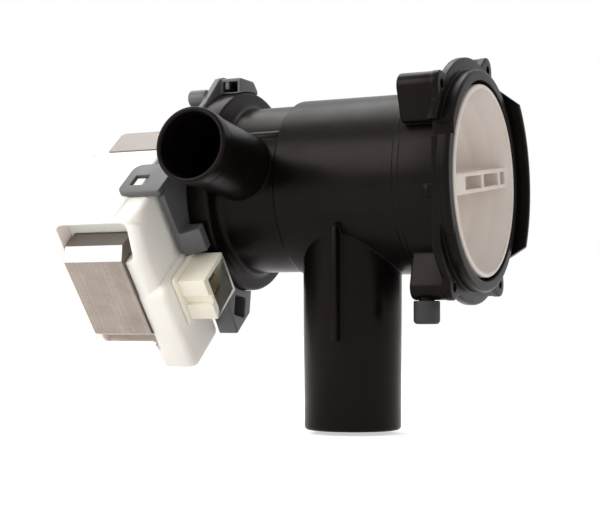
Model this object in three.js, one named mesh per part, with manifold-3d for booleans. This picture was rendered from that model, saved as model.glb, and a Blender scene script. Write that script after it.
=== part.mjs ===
// Drain pump with a lint filter: moulded housing, screw-in filter and shaded U-core motor.
// Millimetres. +X runs out through the filter opening, +Z is up, the inlet pipe points down.
// The origin is the middle of the front flange's face, on the barrel axis.
import * as THREE from 'three';
import { mergeVertices } from 'three/addons/utils/BufferGeometryUtils.js';
import Module from 'manifold-3d';

const wasm = await Module();
wasm.setup();

// Counts and angles
const fineSteps = 38;
const midSteps = 24;
const smallSteps = 16;
const tinySteps = 8;
const cageSteps = 20;
const sealSteps = 6;
const arcSteps = 3;
const vaneCount = 6;
const basketBarCount = 10;
const basketHoopCount = 3;
const motorAngle = 219.3;
const lugAngles = [138, 68, 241, 311];
const latchAngles = [88, 262];
const latchReachShares = [1, 2.79];
const latchWidthShares = [1, 0.94];
const latchCornerShares = [1, 2.44];
const lugCircleShares = [0.985, 1.01, 0.957, 1.04];
const bossDropShares = [0.75, 1, 1, 1];
const handleTilt = 8;
const nozzleLug = 2;
const outletTilt = 6;

// Fits shared by the pieces
const seatGap = 0.2;
const runGap = 0.3;
const shaftGap = 0.05;
const cutOver = 1;
const weldDistance = 0.0001;

// Filter opening: the rings round it follow from its bore
const barrelBore = 26.3;
const barrelWall = 2.3;
const barrelRadius = barrelBore + barrelWall;
const skirtSeat = 0.5;
const skirtRadius = barrelBore + skirtSeat;
const capLip = 3.2;
const capRadius = skirtRadius + capLip;
const socketGap = 1.1;

// Front flange, its raised ring and its screw ears
const ringWall = 3.5;
const ringRadius = capRadius + socketGap + ringWall;
const flangeLip = 3.9;
const flangeRadius = ringRadius + flangeLip;
const flangeThick = 2.6;
const trimDepth = 3.8;
const flangeTrim = ringRadius - trimDepth;
const trimTop = 13.8;
const trimBottom = 24;
const ringProud = 3;
const ringChamfer = 0.8;
const ringPadProud = 0.7;
const ringPadTop = 10;
const ringPadBottom = 18;
const lugProud = 1.3;
const lugCircle = flangeRadius + lugProud;
const lugEndRadius = 4.1;
const lugRootRadius = 11;
const lugRootDepth = 11.5;
const lugRootCircle = flangeRadius - lugRootDepth;
const lugHole = 3;
const bossRadius = 3.9;
const bossLength = 10.6;
const bossEdge = 1;
const bossFootRadius = 2.4;
const bossFootDrop = 9.5;
const shieldGap = 2.6;
const shieldInner = ringRadius + shieldGap;
const shieldWall = 2;
const shieldProud = 7;
const shieldBaseTop = 33;
const shieldBaseBottom = 24;
const shieldEdgeTop = 26.6;
const shieldEdgeBottom = 18.2;

// Barrel, pump chamber and the ring that takes the motor
const collarWall = 3.4;
const collarRadius = skirtRadius + collarWall;
const collarLength = 14;
const beadDrop = 0.8;
const beadRadius = collarRadius - beadDrop;
const beadLength = 2.2;
const barrelLength = 40;
const barrelShoulder = 1.6;
const chamberRadius = 27.2;
const chamberLength = 20.4;
const chamberWall = 2.6;
const eyeRadius = 11;
const eyeWall = 2.2;
const discProud = 5.8;
const discRadius = chamberRadius + discProud;
const discLength = 7.4;
const discEdge = 0.9;
const discFillet = 2.4;
const pocketWall = 2.4;
const shelfLength = 3.2;

// Pegs and ribs on the outside
const pegLength = 4.6;
const pegHeight = 3.6;
const pegProud = 1.2;
const pegSetback = 1.3;
const pegDrop = 2;

// Inlet pipe, which points down
const inletSetback = 37.7;
const inletOffset = 7.8;
const inletRadius = 15.7;
const inletMouthRadius = 15.2;
const inletWall = 2.2;
const inletReach = 77.5;
const inletChamfer = 1.2;
const ribThick = 1.7;
const ribReach = 3.2;
const ribFoot = 49.6;
const ribOffset = 0.8;

// Outlet pipe, which points to the side and slightly up
const outletInset = 12.1;
const outletRadius = 11.65;
const outletRootRadius = 10.7;
const outletWall = 1.7;
const outletReach = 59;
const outletRise = 2.45;
const outletChamfer = 0.7;
const outletBlockTop = 19.4;
const outletBlockBottom = 9;
const outletBlockReach = 24.5;

// Blind nozzle under the lower ear and its rubber cap
const nozzleRadius = 2.4;
const nozzleLength = 5.4;
const nozzleSetback = 8.9;
const rubberRadius = 4;
const rubberLength = 7.2;
const rubberEdge = 1;
const rubberTop = 1.3;

// Filter: cap, strainer and seal
const capRimWall = 1.5;
const capProud = 4;
const capRimDepth = 5.2;
const skirtLength = 15;
const dishWallDepth = 5;
const dishDepth = 14;
const dishFloorRadius = 9;
const capWall = 1.9;
const handleHeight = 6.6;
const handleSetback = 2;
const handlePlate = 1.3;
const handleWeb = 1.2;
const handleWebPlace = 2.8;
const handleCellStart = 14;
const handleCellEnd = 14.6;
const handleBlock = 6.4;
const handlePocketDepth = 9;
const sealSection = 1.15;
const sealSquash = 0.15;
const basketGap = 2.1;
const basketRadius = barrelBore - basketGap;
const basketWall = 1.8;
const basketBar = 1.7;
const basketPlate = 1.6;
const basketEndGap = 3;
const hoopWidth = 1.6;
const stemRadius = 6;

// Motor flange with its rotor can
const plateThick = 2;
const plateProud = 1;
const plateRadius = discRadius + plateProud;
const plateReach = plateRadius + seatGap;
const plateHalf = 28.7;
const plateBack = 8;
const plateCorner = 4;
const standRadius = 24;
const standLength = 8.6;
const spigotWall = 2.2;
const canRadius = 13.8;
const canWall = 1.2;
const canLength = 36.1;
const canEnd = 1.4;
const canEdge = 1.5;
const latchRise = 5.2;
const latchWidth = 17;
const latchDepth = 5;
const latchCorner = 1.6;
const latchPocketWidth = 7.5;
const latchPocketHeight = 3.4;
const toothWidth = 3.4;
const toothDepth = 1.6;
const armWidth = 8.2;
const armThick = 2.4;
const armOffset = 2.3;
const armSetback = 3.8;
const rearBossRadius = 2.8;
const rearBossLength = 6.2;
const rearBossY = 14.9;
const rearBossZ = 29.9;
const gussetTopY = 7.5;
const gussetTopZ = 37.7;
const gussetShoulderY = 10.3;
const gussetShoulderZ = 36.8;
const gussetFootY = 21.2;
const gussetFootZ = 26.3;
const blockGap = 1.8;
const blockInner = plateReach + blockGap;
const tabThick = 2;
const tabProud = 9.8;
const tabWidth = 20.6;
const tabOuter = blockInner + tabProud;
const tabInner = tabOuter - tabWidth;
const tabLength = 12.6;
const tabCorner = 3.4;
const tabWindowLength = 5.2;
const tabWindowWidth = 2.6;
const windowSetback = 9.1;
const windowInset = 1.3;
const windowMiddle = blockInner - windowInset;
const earReach = 3.7;
const earInner = windowMiddle - earReach;
const earThick = 3.3;

// Bearing plate, bearings, seals and the rotor
const bearingPlateThick = 2.2;
const bearingHubRadius = 8.2;
const bearingHubLength = 13;
const bearingRadius = 5.4;
const bearingLength = 6;
const lipSealLength = 3;
const lipSealWall = 0.9;
const chamberSealSection = 0.9;
const shaftRadius = 2;
const magnetRadius = 11.6;
const magnetLength = 20.5;
const magnetEdge = 0.8;
const washerRadius = 4.4;
const washerThick = 0.8;
const rearBearingLength = 3.6;
const dogRadius = 4.6;
const dogLength = 7;
const dogPlay = 0.8;
const dogKeyReach = 1.8;
const dogKeyWidth = 2.6;
const hubWall = 1.8;
const vaneRadius = 20;
const vaneThick = 1.6;
const vaneHeight = 13;
const impellerDisc = 13;
const impellerDiscThick = 1.2;
const chamberPlay = 1.2;

// Stator: pole pieces, yoke, coils and the moulded coil block
const stackLength = 20.9;
const poleGap = 0.35;
const poleHalf = 27.3;
const poleTop = 2;
const poleFoot = 14;
const poleNose = 9;
const noseHalf = 20;
const poleSplit = 2.2;
const legInner = 8.5;
const legOuter = 17.8;
const yokeDepth = 11.5;
const yokeChamfer = 3.6;
const yokeNotch = 1.1;
const bobbinWall = 0.8;
const bobbinFlange = 1;
const windingDepth = 2.2;
const windingEdge = 1.2;
const blockDepth = 17;
const blockFace = blockInner + blockDepth;
const yokeProud = 4.3;
const yokeFace = blockFace + yokeProud;
const blockWall = 1.2;
const blockRear = 1.8;
const blockCorner = 3;
const blockEdge = 1.2;
const blockTop = 26.5;
const blockSetback = 7;
const terminalProud = 3.4;
const terminalFace = blockFace + terminalProud;
const terminalReach = 10;
const terminalLength = 12;
const terminalTop = 2;
const terminalFoot = 31;
const pocketTop = 25.1;
const pocketShoulder = 8;
const pocketReach = 3.9;
const pocketFoot = 21.9;
const windowMargin = 1.2;
const nubProud = 1.4;

// Connector
const socketWidth = 15.2;
const socketHeight = 15;
const socketDepth = 9.4;
const socketWall = 1.4;
const socketFloor = 1.6;
const socketShift = 7;
const collarPlate = 1.1;
const socketStart = blockInner - collarPlate - seatGap;
const collarMargin = 1.5;
const keyWidth = 3.4;
const keyDepth = 1.2;
const tabBladeWidth = 6.3;
const tabBladeThick = 0.8;
const tabBladeReach = 6.6;
const tabBladePitch = 5;
const tabBladeTail = 1;

// Stations along the barrel axis, worked out from the lengths above
const collarEnd = -collarLength;
const beadEnd = collarEnd - beadLength;
const barrelEnd = beadEnd - barrelLength;
const outletSetback = outletInset - barrelEnd;
const chamberEnd = barrelEnd - chamberLength;
const discEnd = chamberEnd - discLength;
const shelfEnd = chamberEnd - shelfLength;
const chamberBore = chamberRadius - chamberWall;
const pocketBore = discRadius - pocketWall;
const plateFront = discEnd - seatGap;
const plateEnd = plateFront - plateThick;
const canEndX = plateEnd - canLength;
const canBore = canRadius - canWall;
const stackFront = plateEnd - standLength - seatGap;
const stackEnd = stackFront - stackLength;
const bearingPlateFront = shelfEnd - seatGap;
const bearingPlateEnd = bearingPlateFront - bearingPlateThick;
const hubEnd = bearingPlateFront - bearingHubLength;

const radians = (degrees) => degrees * Math.PI / 180;
const onCircle = (radius, degrees) => [
  radius * Math.cos(radians(degrees)),
  radius * Math.sin(radians(degrees)),
];

// The volume inside a closed triangle mesh, negative where its faces point inwards.
function signedVolume(vertices, triangles) {
  const corner = (i) => new THREE.Vector3().fromArray(vertices, 3 * triangles[i]);
  let volume = 0;
  for (let i = 0; i < triangles.length; i += 3) {
    volume += corner(i).dot(corner(i + 1).cross(corner(i + 2))) / 6;
  }
  return volume;
}

// A closed geometry becomes a solid that can be joined and cut, with its faces pointing out
// whichever way round its outline ran.
function solid(geometry) {
  const bare = geometry.clone();
  bare.deleteAttribute('normal');
  bare.deleteAttribute('uv');
  const merged = mergeVertices(bare, weldDistance);
  const vertProperties = new Float32Array(merged.attributes.position.array);
  const triVerts = new Uint32Array(merged.index.array);
  if (signedVolume(vertProperties, triVerts) < 0) {
    for (let i = 0; i < triVerts.length; i += 3) {
      [triVerts[i], triVerts[i + 1]] = [triVerts[i + 1], triVerts[i]];
    }
  }
  return new wasm.Manifold(new wasm.Mesh({ numProp: 3, vertProperties, triVerts }));
}

function join(...solids) {
  return solids.reduce((whole, piece) => whole.add(piece));
}

// A profile of [station, radius] pairs turned about the X axis.
function turned(profile, steps = fineSteps) {
  const points = profile.map(([x, r]) => new THREE.Vector2(r, x));
  const geometry = new THREE.LatheGeometry(points, steps);
  geometry.rotateZ(-Math.PI / 2);
  return solid(geometry);
}

// A ring about the X axis, between two radii and two stations.
function ring(inner, outer, from, to, steps = fineSteps) {
  const low = Math.min(from, to);
  const high = Math.max(from, to);
  if (inner <= 0) {
    return turned([[low, 0], [low, outer], [high, outer], [high, 0]], steps);
  }
  return turned([[low, inner], [low, outer], [high, outer], [high, inner], [low, inner]], steps);
}

// A flat outline in the YZ plane, drawn out along X.
function slab(shape, from, to, edge = 0, curveSteps = arcSteps) {
  const low = Math.min(from, to);
  const depth = Math.abs(to - from);
  const geometry = new THREE.ExtrudeGeometry(shape, {
    depth: depth - 2 * edge,
    steps: 1,
    curveSegments: curveSteps,
    bevelEnabled: edge > 0,
    bevelThickness: edge,
    bevelSize: edge,
    bevelOffset: -edge,
    bevelSegments: 1,
  });
  geometry.translate(0, 0, edge);
  const basis = new THREE.Matrix4().makeBasis(
    new THREE.Vector3(0, 1, 0), new THREE.Vector3(0, 0, 1), new THREE.Vector3(1, 0, 0));
  geometry.applyMatrix4(basis);
  geometry.translate(low, 0, 0);
  return solid(geometry);
}

// A flat outline in the XZ plane, drawn out along Y.
function drawnAlongY(shape, from, to, curveSteps = arcSteps) {
  const geometry = new THREE.ExtrudeGeometry(shape, {
    depth: to - from, steps: 1, curveSegments: curveSteps, bevelEnabled: false,
  });
  geometry.rotateX(Math.PI / 2);
  geometry.scale(1, -1, 1);
  geometry.translate(0, from, 0);
  return solid(geometry);
}

// A flat outline in the XY plane, drawn out along Z.
function drawnAlongZ(shape, from, to) {
  const geometry = new THREE.ExtrudeGeometry(shape, {
    depth: to - from, steps: 1, curveSegments: arcSteps, bevelEnabled: false,
  });
  geometry.translate(0, 0, from);
  return solid(geometry);
}

function polygon(points) {
  return new THREE.Shape(points.map(([y, z]) => new THREE.Vector2(y, z)));
}

function roundedRectangle(y0, z0, y1, z1, radius) {
  const shape = new THREE.Shape();
  shape.moveTo(y0 + radius, z0);
  shape.lineTo(y1 - radius, z0);
  shape.absarc(y1 - radius, z0 + radius, radius, -Math.PI / 2, 0, false);
  shape.lineTo(y1, z1 - radius);
  shape.absarc(y1 - radius, z1 - radius, radius, 0, Math.PI / 2, false);
  shape.lineTo(y0 + radius, z1);
  shape.absarc(y0 + radius, z1 - radius, radius, Math.PI / 2, Math.PI, false);
  shape.lineTo(y0, z0 + radius);
  shape.absarc(y0 + radius, z0 + radius, radius, Math.PI, Math.PI * 3 / 2, false);
  return shape;
}

function box(x0, x1, y0, y1, z0, z1) {
  const geometry = new THREE.BoxGeometry(x1 - x0, y1 - y0, z1 - z0);
  geometry.translate((x0 + x1) / 2, (y0 + y1) / 2, (z0 + z1) / 2);
  return solid(geometry);
}

// The outline round two circles and their common tangents.
function capsule(startY, startZ, startRadius, endY, endZ, endRadius) {
  const length = Math.hypot(endY - startY, endZ - startZ);
  const heading = Math.atan2(endZ - startZ, endY - startY);
  const lean = Math.acos((startRadius - endRadius) / length);
  const shape = new THREE.Shape();
  shape.absarc(startY, startZ, startRadius, heading + lean, heading + Math.PI * 2 - lean, false);
  shape.absarc(endY, endZ, endRadius, heading - lean, heading + lean, false);
  return shape;
}

function post(y, z, radius, from, to, edge = 0, steps = smallSteps) {
  const shape = new THREE.Shape();
  shape.absarc(y, z, radius, 0, Math.PI * 2, false);
  return slab(shape, from, to, edge, steps / 2);
}

const group = new THREE.Group();
const motor = new THREE.Group();
motor.rotation.x = radians(motorAngle);
group.add(motor);

function put(name, piece, look, parent = group) {
  const mesh = piece.getMesh();
  const geometry = new THREE.BufferGeometry();
  geometry.setAttribute('position', new THREE.BufferAttribute(new Float32Array(mesh.vertProperties), 3));
  geometry.setIndex(new THREE.BufferAttribute(new Uint32Array(mesh.triVerts), 1));
  geometry.computeVertexNormals();
  const node = new THREE.Mesh(geometry, new THREE.MeshStandardMaterial(look));
  node.name = name;
  parent.add(node);
}

const blackPlastic = { color: 0x38302e, roughness: 0.42, metalness: 0 };
const whitePlastic = { color: 0xe6ddd2, roughness: 0.5, metalness: 0 };
const greyPlastic = { color: 0xa6a6a8, roughness: 0.5, metalness: 0 };
const creamPlastic = { color: 0xf6f1e2, roughness: 0.45, metalness: 0 };
const ivoryPlastic = { color: 0xf4ecd2, roughness: 0.4, metalness: 0 };
const rubber = { color: 0x0e0e0f, roughness: 0.8, metalness: 0 };
const steel = { color: 0xb8babd, roughness: 0.3, metalness: 1 };
const laminated = { color: 0x8f847c, roughness: 0.55, metalness: 0.7 };
const ferrite = { color: 0x2b2b2e, roughness: 0.6, metalness: 0.2 };
const copper = { color: 0xa4562a, roughness: 0.4, metalness: 0.8 };
const carbon = { color: 0x1d1d1f, roughness: 0.5, metalness: 0 };
const brownResin = { color: 0x6b5a4a, roughness: 0.6, metalness: 0 };

// Pump housing

// The middle of an ear's screw hole.
function lugPlace(i) {
  return onCircle(lugCircle * lugCircleShares[i], lugAngles[i]);
}

function flangeSolid() {
  let plate = ring(0, flangeRadius, -flangeThick, 0);
  lugAngles.forEach((angle, i) => {
    const [endY, endZ] = lugPlace(i);
    const [rootY, rootZ] = onCircle(lugRootCircle, angle);
    const ear = capsule(rootY, rootZ, lugRootRadius, endY, endZ, lugEndRadius);
    plate = plate.add(slab(ear, -flangeThick, 0));
    plate = plate.add(bossSolid(endY, endZ, bossFootDrop * bossDropShares[i]));
  });
  return plate;
}

// A screw boss behind an ear runs down onto the barrel.
function bossSolid(y, z, drop) {
  const side = Math.sign(z);
  const inwardY = y * (1 - bossFootRadius / lugCircle);
  const foot = capsule(y, z, bossRadius, inwardY, z - side * drop, bossFootRadius);
  const share = barrelBore / lugCircle;
  const web = capsule(y, z, bossRadius, y * share, z * share, bossRadius - bossEdge);
  const start = -flangeThick - bossLength;
  return slab(foot, start, -flangeThick / 2, bossEdge).add(slab(web, start, -flangeThick / 2, bossEdge));
}

function shieldSolid() {
  const wall = ring(shieldInner, shieldInner + shieldWall, -flangeThick, shieldProud);
  const side = new THREE.Shape();
  side.moveTo(-flangeThick - cutOver, -shieldBaseBottom);
  side.lineTo(0, -shieldBaseBottom);
  side.lineTo(shieldProud + cutOver, -shieldEdgeBottom);
  side.lineTo(shieldProud + cutOver, shieldEdgeTop);
  side.lineTo(0, shieldBaseTop);
  side.lineTo(-flangeThick - cutOver, shieldBaseTop);
  const keep = drawnAlongY(side, 0, flangeRadius + cutOver);
  const foot = ring(ringRadius - ringChamfer, shieldInner + shieldWall, -flangeThick, 0);
  return wall.intersect(keep).add(foot.intersect(keep));
}

function barrelSolid() {
  const outer = turned([
    [ringProud, 0],
    [ringProud, ringRadius - ringChamfer],
    [ringProud - ringChamfer, ringRadius],
    [-flangeThick / 2, ringRadius],
    [-flangeThick / 2, collarRadius],
    [collarEnd, collarRadius],
    [collarEnd, beadRadius],
    [beadEnd, beadRadius],
    [beadEnd, barrelRadius],
    [barrelEnd + barrelShoulder, barrelRadius],
    [barrelEnd, chamberRadius],
    [chamberEnd + discFillet, chamberRadius],
    [chamberEnd, chamberRadius + discFillet],
    [chamberEnd, discRadius - discEdge],
    [chamberEnd - discEdge, discRadius],
    [discEnd, discRadius],
    [discEnd, 0],
  ]);
  const pad = box(0, ringProud - ringChamfer, -ringRadius - ringPadProud, -capRadius - socketGap,
    -ringPadBottom, ringPadTop);
  const padRound = ring(0, ringRadius + ringPadProud, 0, ringProud);
  return outer.add(pad.intersect(padRound));
}

function barrelBores() {
  const eyeBack = barrelEnd - eyeWall;
  const socketBottom = capProud - capRimDepth - seatGap;
  return turned([
    [ringProud + cutOver, 0],
    [ringProud + cutOver, capRadius + socketGap],
    [socketBottom, capRadius + socketGap],
    [socketBottom, skirtRadius + runGap],
    [-skirtLength - seatGap, skirtRadius + runGap],
    [-skirtLength - seatGap - (skirtRadius + runGap - barrelBore), barrelBore],
    [barrelEnd, barrelBore],
    [barrelEnd, eyeRadius],
    [eyeBack, eyeRadius],
    [eyeBack, chamberBore],
    [shelfEnd, chamberBore],
    [shelfEnd, pocketBore],
    [discEnd - cutOver, pocketBore],
    [discEnd - cutOver, 0],
  ]);
}

// A tube whose axis lies along Z, between two heights.
function upright(profile, x, y, steps = fineSteps) {
  const geometry = new THREE.LatheGeometry(profile.map(([r, z]) => new THREE.Vector2(r, z)), steps);
  geometry.rotateX(Math.PI / 2);
  geometry.translate(x, y, 0);
  return solid(geometry);
}

function inletSolid() {
  const pipe = upright([
    [0, -inletReach],
    [inletMouthRadius - inletChamfer, -inletReach],
    [inletMouthRadius, -inletReach + inletChamfer],
    [inletRadius, -barrelRadius / 2],
    [inletRadius, 0],
    [0, 0],
  ], -inletSetback, -inletOffset);
  const ribStart = -inletSetback + ribOffset;
  const ribEdge = -inletOffset - inletRadius - ribReach;
  const rib = box(ribStart, ribStart + ribThick, ribEdge, -inletOffset, -ribFoot, 0);
  const hug = ring(0, barrelRadius, beadEnd, barrelEnd + barrelShoulder);
  const band = box(ribStart, ribStart + ribThick, ribEdge, -inletOffset, -ribFoot, -barrelRadius / 2);
  return pipe.add(rib.intersect(hug)).add(band);
}

function inletBore() {
  return upright([
    [0, -inletReach - cutOver],
    [inletMouthRadius - inletWall, -inletReach - cutOver],
    [inletRadius - inletWall, -barrelRadius / 2],
    [inletRadius - inletWall, -barrelBore / 2],
    [0, -barrelBore / 2],
  ], -inletSetback, -inletOffset);
}

// A lathe about the outlet's own axis: station zero is on the chamber's middle plane.
function outletTurned(profile) {
  const geometry = new THREE.LatheGeometry(profile.map(([r, s]) => new THREE.Vector2(r, s)), midSteps);
  geometry.rotateX(radians(180 - outletTilt));
  geometry.translate(-outletSetback, 0, outletRise);
  return solid(geometry);
}

function outletSolid() {
  const pipe = outletTurned([
    [0, 0],
    [outletRootRadius, 0],
    [outletRootRadius, outletReach / 2],
    [outletRadius - outletChamfer / 2, outletReach - outletRadius / 2],
    [outletRadius, outletReach - outletRadius / 2 + outletChamfer],
    [outletRadius, outletReach - outletChamfer],
    [outletRadius - outletChamfer, outletReach],
    [0, outletReach],
  ]);
  const x0 = -outletSetback - outletRootRadius + outletWall;
  const root = roundedRectangle(-outletBlockReach, -outletBlockBottom, 0, outletBlockTop, outletWall);
  const block = slab(root, x0, barrelEnd, outletWall / 2);
  const gusset = polygon([[-outletBlockReach, 0], [0, 0], [0, outletBlockTop]]);
  return pipe.add(block).add(slab(gusset, x0, barrelEnd + barrelShoulder));
}

function outletBore() {
  return outletTurned([
    [0, chamberBore / 2],
    [outletRootRadius - outletWall, chamberBore / 2],
    [outletRootRadius - outletWall, outletReach / 2],
    [outletRadius - outletWall, outletReach - outletRadius / 2],
    [outletRadius - outletWall, outletReach + cutOver],
    [0, outletReach + cutOver],
  ]);
}

const nozzleY = lugPlace(nozzleLug)[0];
const nozzleTop = lugPlace(nozzleLug)[1] - bossRadius;

function nozzleSolid() {
  return upright([
    [0, nozzleTop - nozzleLength],
    [nozzleRadius, nozzleTop - nozzleLength],
    [nozzleRadius, nozzleTop + bossRadius],
    [0, nozzleTop + bossRadius],
  ], -nozzleSetback, nozzleY, smallSteps);
}

function housing() {
  const peg = box(-pegSetback - pegLength, -pegSetback, -collarRadius - pegProud, -collarRadius + pegProud,
    -pegDrop - pegHeight / 2, -pegDrop + pegHeight / 2);
  const pipes = join(inletSolid(), outletSolid(), nozzleSolid());
  let shell = join(barrelSolid(), flangeSolid(), shieldSolid(), pipes, peg);
  const toothX = discEnd + latchDepth / 2;
  const [toothY, toothZ] = onCircle(discRadius, latchAngles[0]);
  const tooth = box(toothX - toothDepth / 2, toothX + toothDepth / 2, toothY - toothWidth / 2,
    toothY + toothWidth / 2, toothZ - pocketWall, toothZ + pocketWall + toothDepth);
  shell = shell.add(tooth);
  const trim = box(-flangeThick - cutOver, 0, -flangeRadius - cutOver, -flangeTrim, -trimBottom, trimTop);
  shell = shell.subtract(trim);
  shell = shell.subtract(barrelBores()).subtract(inletBore()).subtract(outletBore());
  for (let i = 0; i < lugAngles.length; i += 1) {
    const [y, z] = lugPlace(i);
    const holeEnd = -flangeThick - bossLength + bossEdge;
    shell = shell.subtract(post(y, z, lugHole / 2, holeEnd, cutOver, 0, tinySteps));
  }
  return shell;
}

put('pump_housing', housing(), blackPlastic);

// Rubber cap on the blind nozzle

function rubberCap() {
  const bottom = nozzleTop - rubberLength;
  const outer = upright([
    [0, bottom],
    [rubberRadius - rubberEdge, bottom],
    [rubberRadius, bottom + rubberEdge],
    [rubberRadius, nozzleTop - seatGap],
    [0, nozzleTop - seatGap],
  ], -nozzleSetback, nozzleY, smallSteps);
  const inner = upright([
    [0, bottom + rubberTop],
    [nozzleRadius + seatGap, bottom + rubberTop],
    [nozzleRadius + seatGap, nozzleTop + cutOver],
    [0, nozzleTop + cutOver],
  ], -nozzleSetback, nozzleY, smallSteps);
  return outer.subtract(inner);
}

put('nozzle_cap', rubberCap(), rubber);

// Filter cap, its seal and its strainer

const sealCentre = -skirtLength + sealSection * 2;
const sealRadius = skirtRadius + sealSquash - sealSection;
const capBack = -skirtLength;

function filterCap() {
  const rimBack = capProud - capRimDepth;
  const outer = turned([
    [capProud, 0],
    [capProud, capRadius],
    [rimBack, capRadius],
    [rimBack, skirtRadius],
    [capBack, skirtRadius],
    [capBack, 0],
  ]);
  const dishInner = capRadius - capRimWall;
  const throat = skirtRadius - capWall - sealSection * 2;
  const dish = turned([
    [capProud + cutOver, 0],
    [capProud + cutOver, dishInner],
    [capProud, dishInner],
    [capProud - dishWallDepth, throat + capWall],
    [capProud - dishWallDepth - capWall, throat],
    [capProud - (dishWallDepth + dishDepth) / 2, (throat + dishFloorRadius) / 2 + capWall],
    [capProud - dishDepth, dishFloorRadius],
    [capProud - dishDepth - capWall / 2, 0],
  ]);
  const groove = ring(sealRadius - sealSection - seatGap / 2, skirtRadius + cutOver,
    sealCentre - sealSection - seatGap, sealCentre + sealSection + seatGap);
  return outer.subtract(dish).subtract(groove).add(handle(dishInner));
}

// The finger bar is two plates joined by webs, set across the dish.
function handle(dishInner) {
  const front = capProud - handleSetback;
  const back = capProud - dishDepth - capWall;
  const reach = dishInner + capRimWall / 2;
  const inside = handleHeight / 2 - handlePlate;
  const pocketBack = front - handlePocketDepth;
  const cells = [
    [-handleCellStart, handleWebPlace - handleWeb / 2],
    [handleWebPlace + handleWeb / 2, handleCellEnd],
    [handleCellEnd + handleBlock, dishInner - handleWeb],
  ];
  let body = box(back, front, -reach, reach, -handleHeight / 2, handleHeight / 2);
  cells.forEach(([from, to]) => {
    body = body.subtract(box(pocketBack, front + cutOver, from, to, -inside, inside));
  });
  const round = turned([
    [capProud, 0],
    [capProud, dishInner + capRimWall / 2],
    [capProud - dishWallDepth, skirtRadius - capWall],
    [back, skirtRadius - capWall - sealSection * 2],
    [back, 0],
  ]);
  return body.rotate([handleTilt, 0, 0]).intersect(round);
}

put('filter_cap', filterCap(), whitePlastic);

function sealRing(centre, radius, section) {
  const profile = [];
  for (let i = 0; i <= sealSteps; i += 1) {
    const turn = Math.PI * 2 * i / sealSteps;
    profile.push([centre + section * Math.cos(turn), radius + section * Math.sin(turn)]);
  }
  return turned(profile);
}

put('filter_seal', sealRing(sealCentre, sealRadius, sealSection), rubber);

const basketFront = capBack - seatGap;
const basketEnd = barrelEnd + basketEndGap;

function filterBasket() {
  const plateBack = basketFront - basketPlate;
  const inner = basketRadius - basketWall;
  let cage = ring(inner, basketRadius, plateBack, basketFront, cageSteps);
  cage = cage.add(ring(0, stemRadius, plateBack, basketFront, smallSteps));
  for (const turn of [0, 90]) {
    const reach = inner + basketWall / 2;
    const spoke = box(plateBack, basketFront, -reach, reach, -basketBar, basketBar);
    cage = cage.add(spoke.rotate([turn, 0, 0]));
  }
  for (let i = 0; i < basketBarCount; i += 1) {
    const bar = box(basketEnd, basketFront, inner, basketRadius, -basketBar / 2, basketBar / 2);
    cage = cage.add(bar.rotate([360 * (i + 0.5) / basketBarCount, 0, 0]));
  }
  const length = basketFront - basketEnd;
  for (let i = 1; i <= basketHoopCount; i += 1) {
    const x = basketFront - length * i / basketHoopCount;
    cage = cage.add(ring(inner + hoopWidth / 4, basketRadius - hoopWidth / 4, x, x + hoopWidth, cageSteps));
  }
  return cage;
}

put('filter_basket', filterBasket(), whitePlastic);

// Motor flange: plate, spigot, rotor can, latches and clip tabs

function motorPlate() {
  const round = ring(0, plateRadius, plateEnd, plateFront);
  const gusset = polygon([
    [0, gussetTopZ],
    [-gussetTopY, gussetTopZ],
    [-gussetShoulderY, gussetShoulderZ],
    [-gussetFootY, gussetFootZ],
    [0, 0],
  ]);
  const outline = roundedRectangle(-plateBack, -plateHalf, plateReach, plateHalf, plateCorner);
  const wide = slab(outline, plateEnd, plateFront).rotate([motorAngle, 0, 0]);
  return join(round, slab(gusset, plateEnd, plateFront), wide);
}

// A latch lug stands on the plate's edge and reaches forward over the housing's ring.
const latchFoot = discRadius + seatGap;

function latchSolid(i) {
  const latchReach = latchRise * latchReachShares[i];
  const shape = new THREE.Shape();
  const half = latchWidth * latchWidthShares[i] / 2;
  const corner = latchCorner * latchCornerShares[i] * 2;
  shape.moveTo(0, -half);
  shape.lineTo(latchFoot + latchReach - corner, -half * discRadius / plateRadius);
  shape.lineTo(latchFoot + latchReach, corner - half);
  shape.lineTo(latchFoot + latchReach, half - corner);
  shape.lineTo(latchFoot + latchReach - corner, half * discRadius / plateRadius);
  shape.lineTo(0, half);
  let lug = slab(shape, plateEnd, plateFront + latchDepth);
  lug = lug.subtract(ring(0, latchFoot, plateFront, plateFront + latchDepth + cutOver));
  return lug.rotate([latchAngles[i], 0, 0]);
}

function latchPocket(i) {
  const pocketBase = latchFoot + (latchRise * latchReachShares[i] - latchPocketHeight) / 2;
  const pocket = roundedRectangle(pocketBase - latchPocketHeight, -latchPocketWidth / 2,
    pocketBase + latchPocketHeight, latchPocketWidth / 2, latchPocketHeight / 4);
  return slab(pocket, plateFront, plateFront + latchDepth + cutOver).rotate([latchAngles[i], 0, 0]);
}

// A guide arm lies along the housing's ring beside the coil block.
function armSolid() {
  const inner = discRadius + seatGap;
  const front = chamberEnd - armSetback;
  const back = plateFront - plateThick / 2;
  const shell = ring(inner, inner + armThick, back, front);
  const arm = box(back, front, 0, discRadius * 2, -armOffset - armWidth, -armOffset);
  return shell.intersect(arm).rotate([motorAngle, 0, 0]);
}

const tabFront = plateFront;
const tabEnd = plateEnd - tabLength;
const windowX = plateFront - windowSetback;
const windowY = windowMiddle;

// The clip tab stands on the plate's edge, and its window takes the coil block's nub.
function clipTab() {
  const outline = polygon([
    [tabFront, tabInner],
    [tabFront, tabOuter],
    [tabEnd + tabCorner, tabOuter],
    [tabEnd, tabOuter - tabCorner],
    [tabEnd, tabInner + tabCorner],
    [tabEnd + tabCorner, tabInner],
  ]);
  return drawnAlongZ(outline, -plateHalf, tabThick - plateHalf).rotate([motorAngle, 0, 0]);
}

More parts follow.
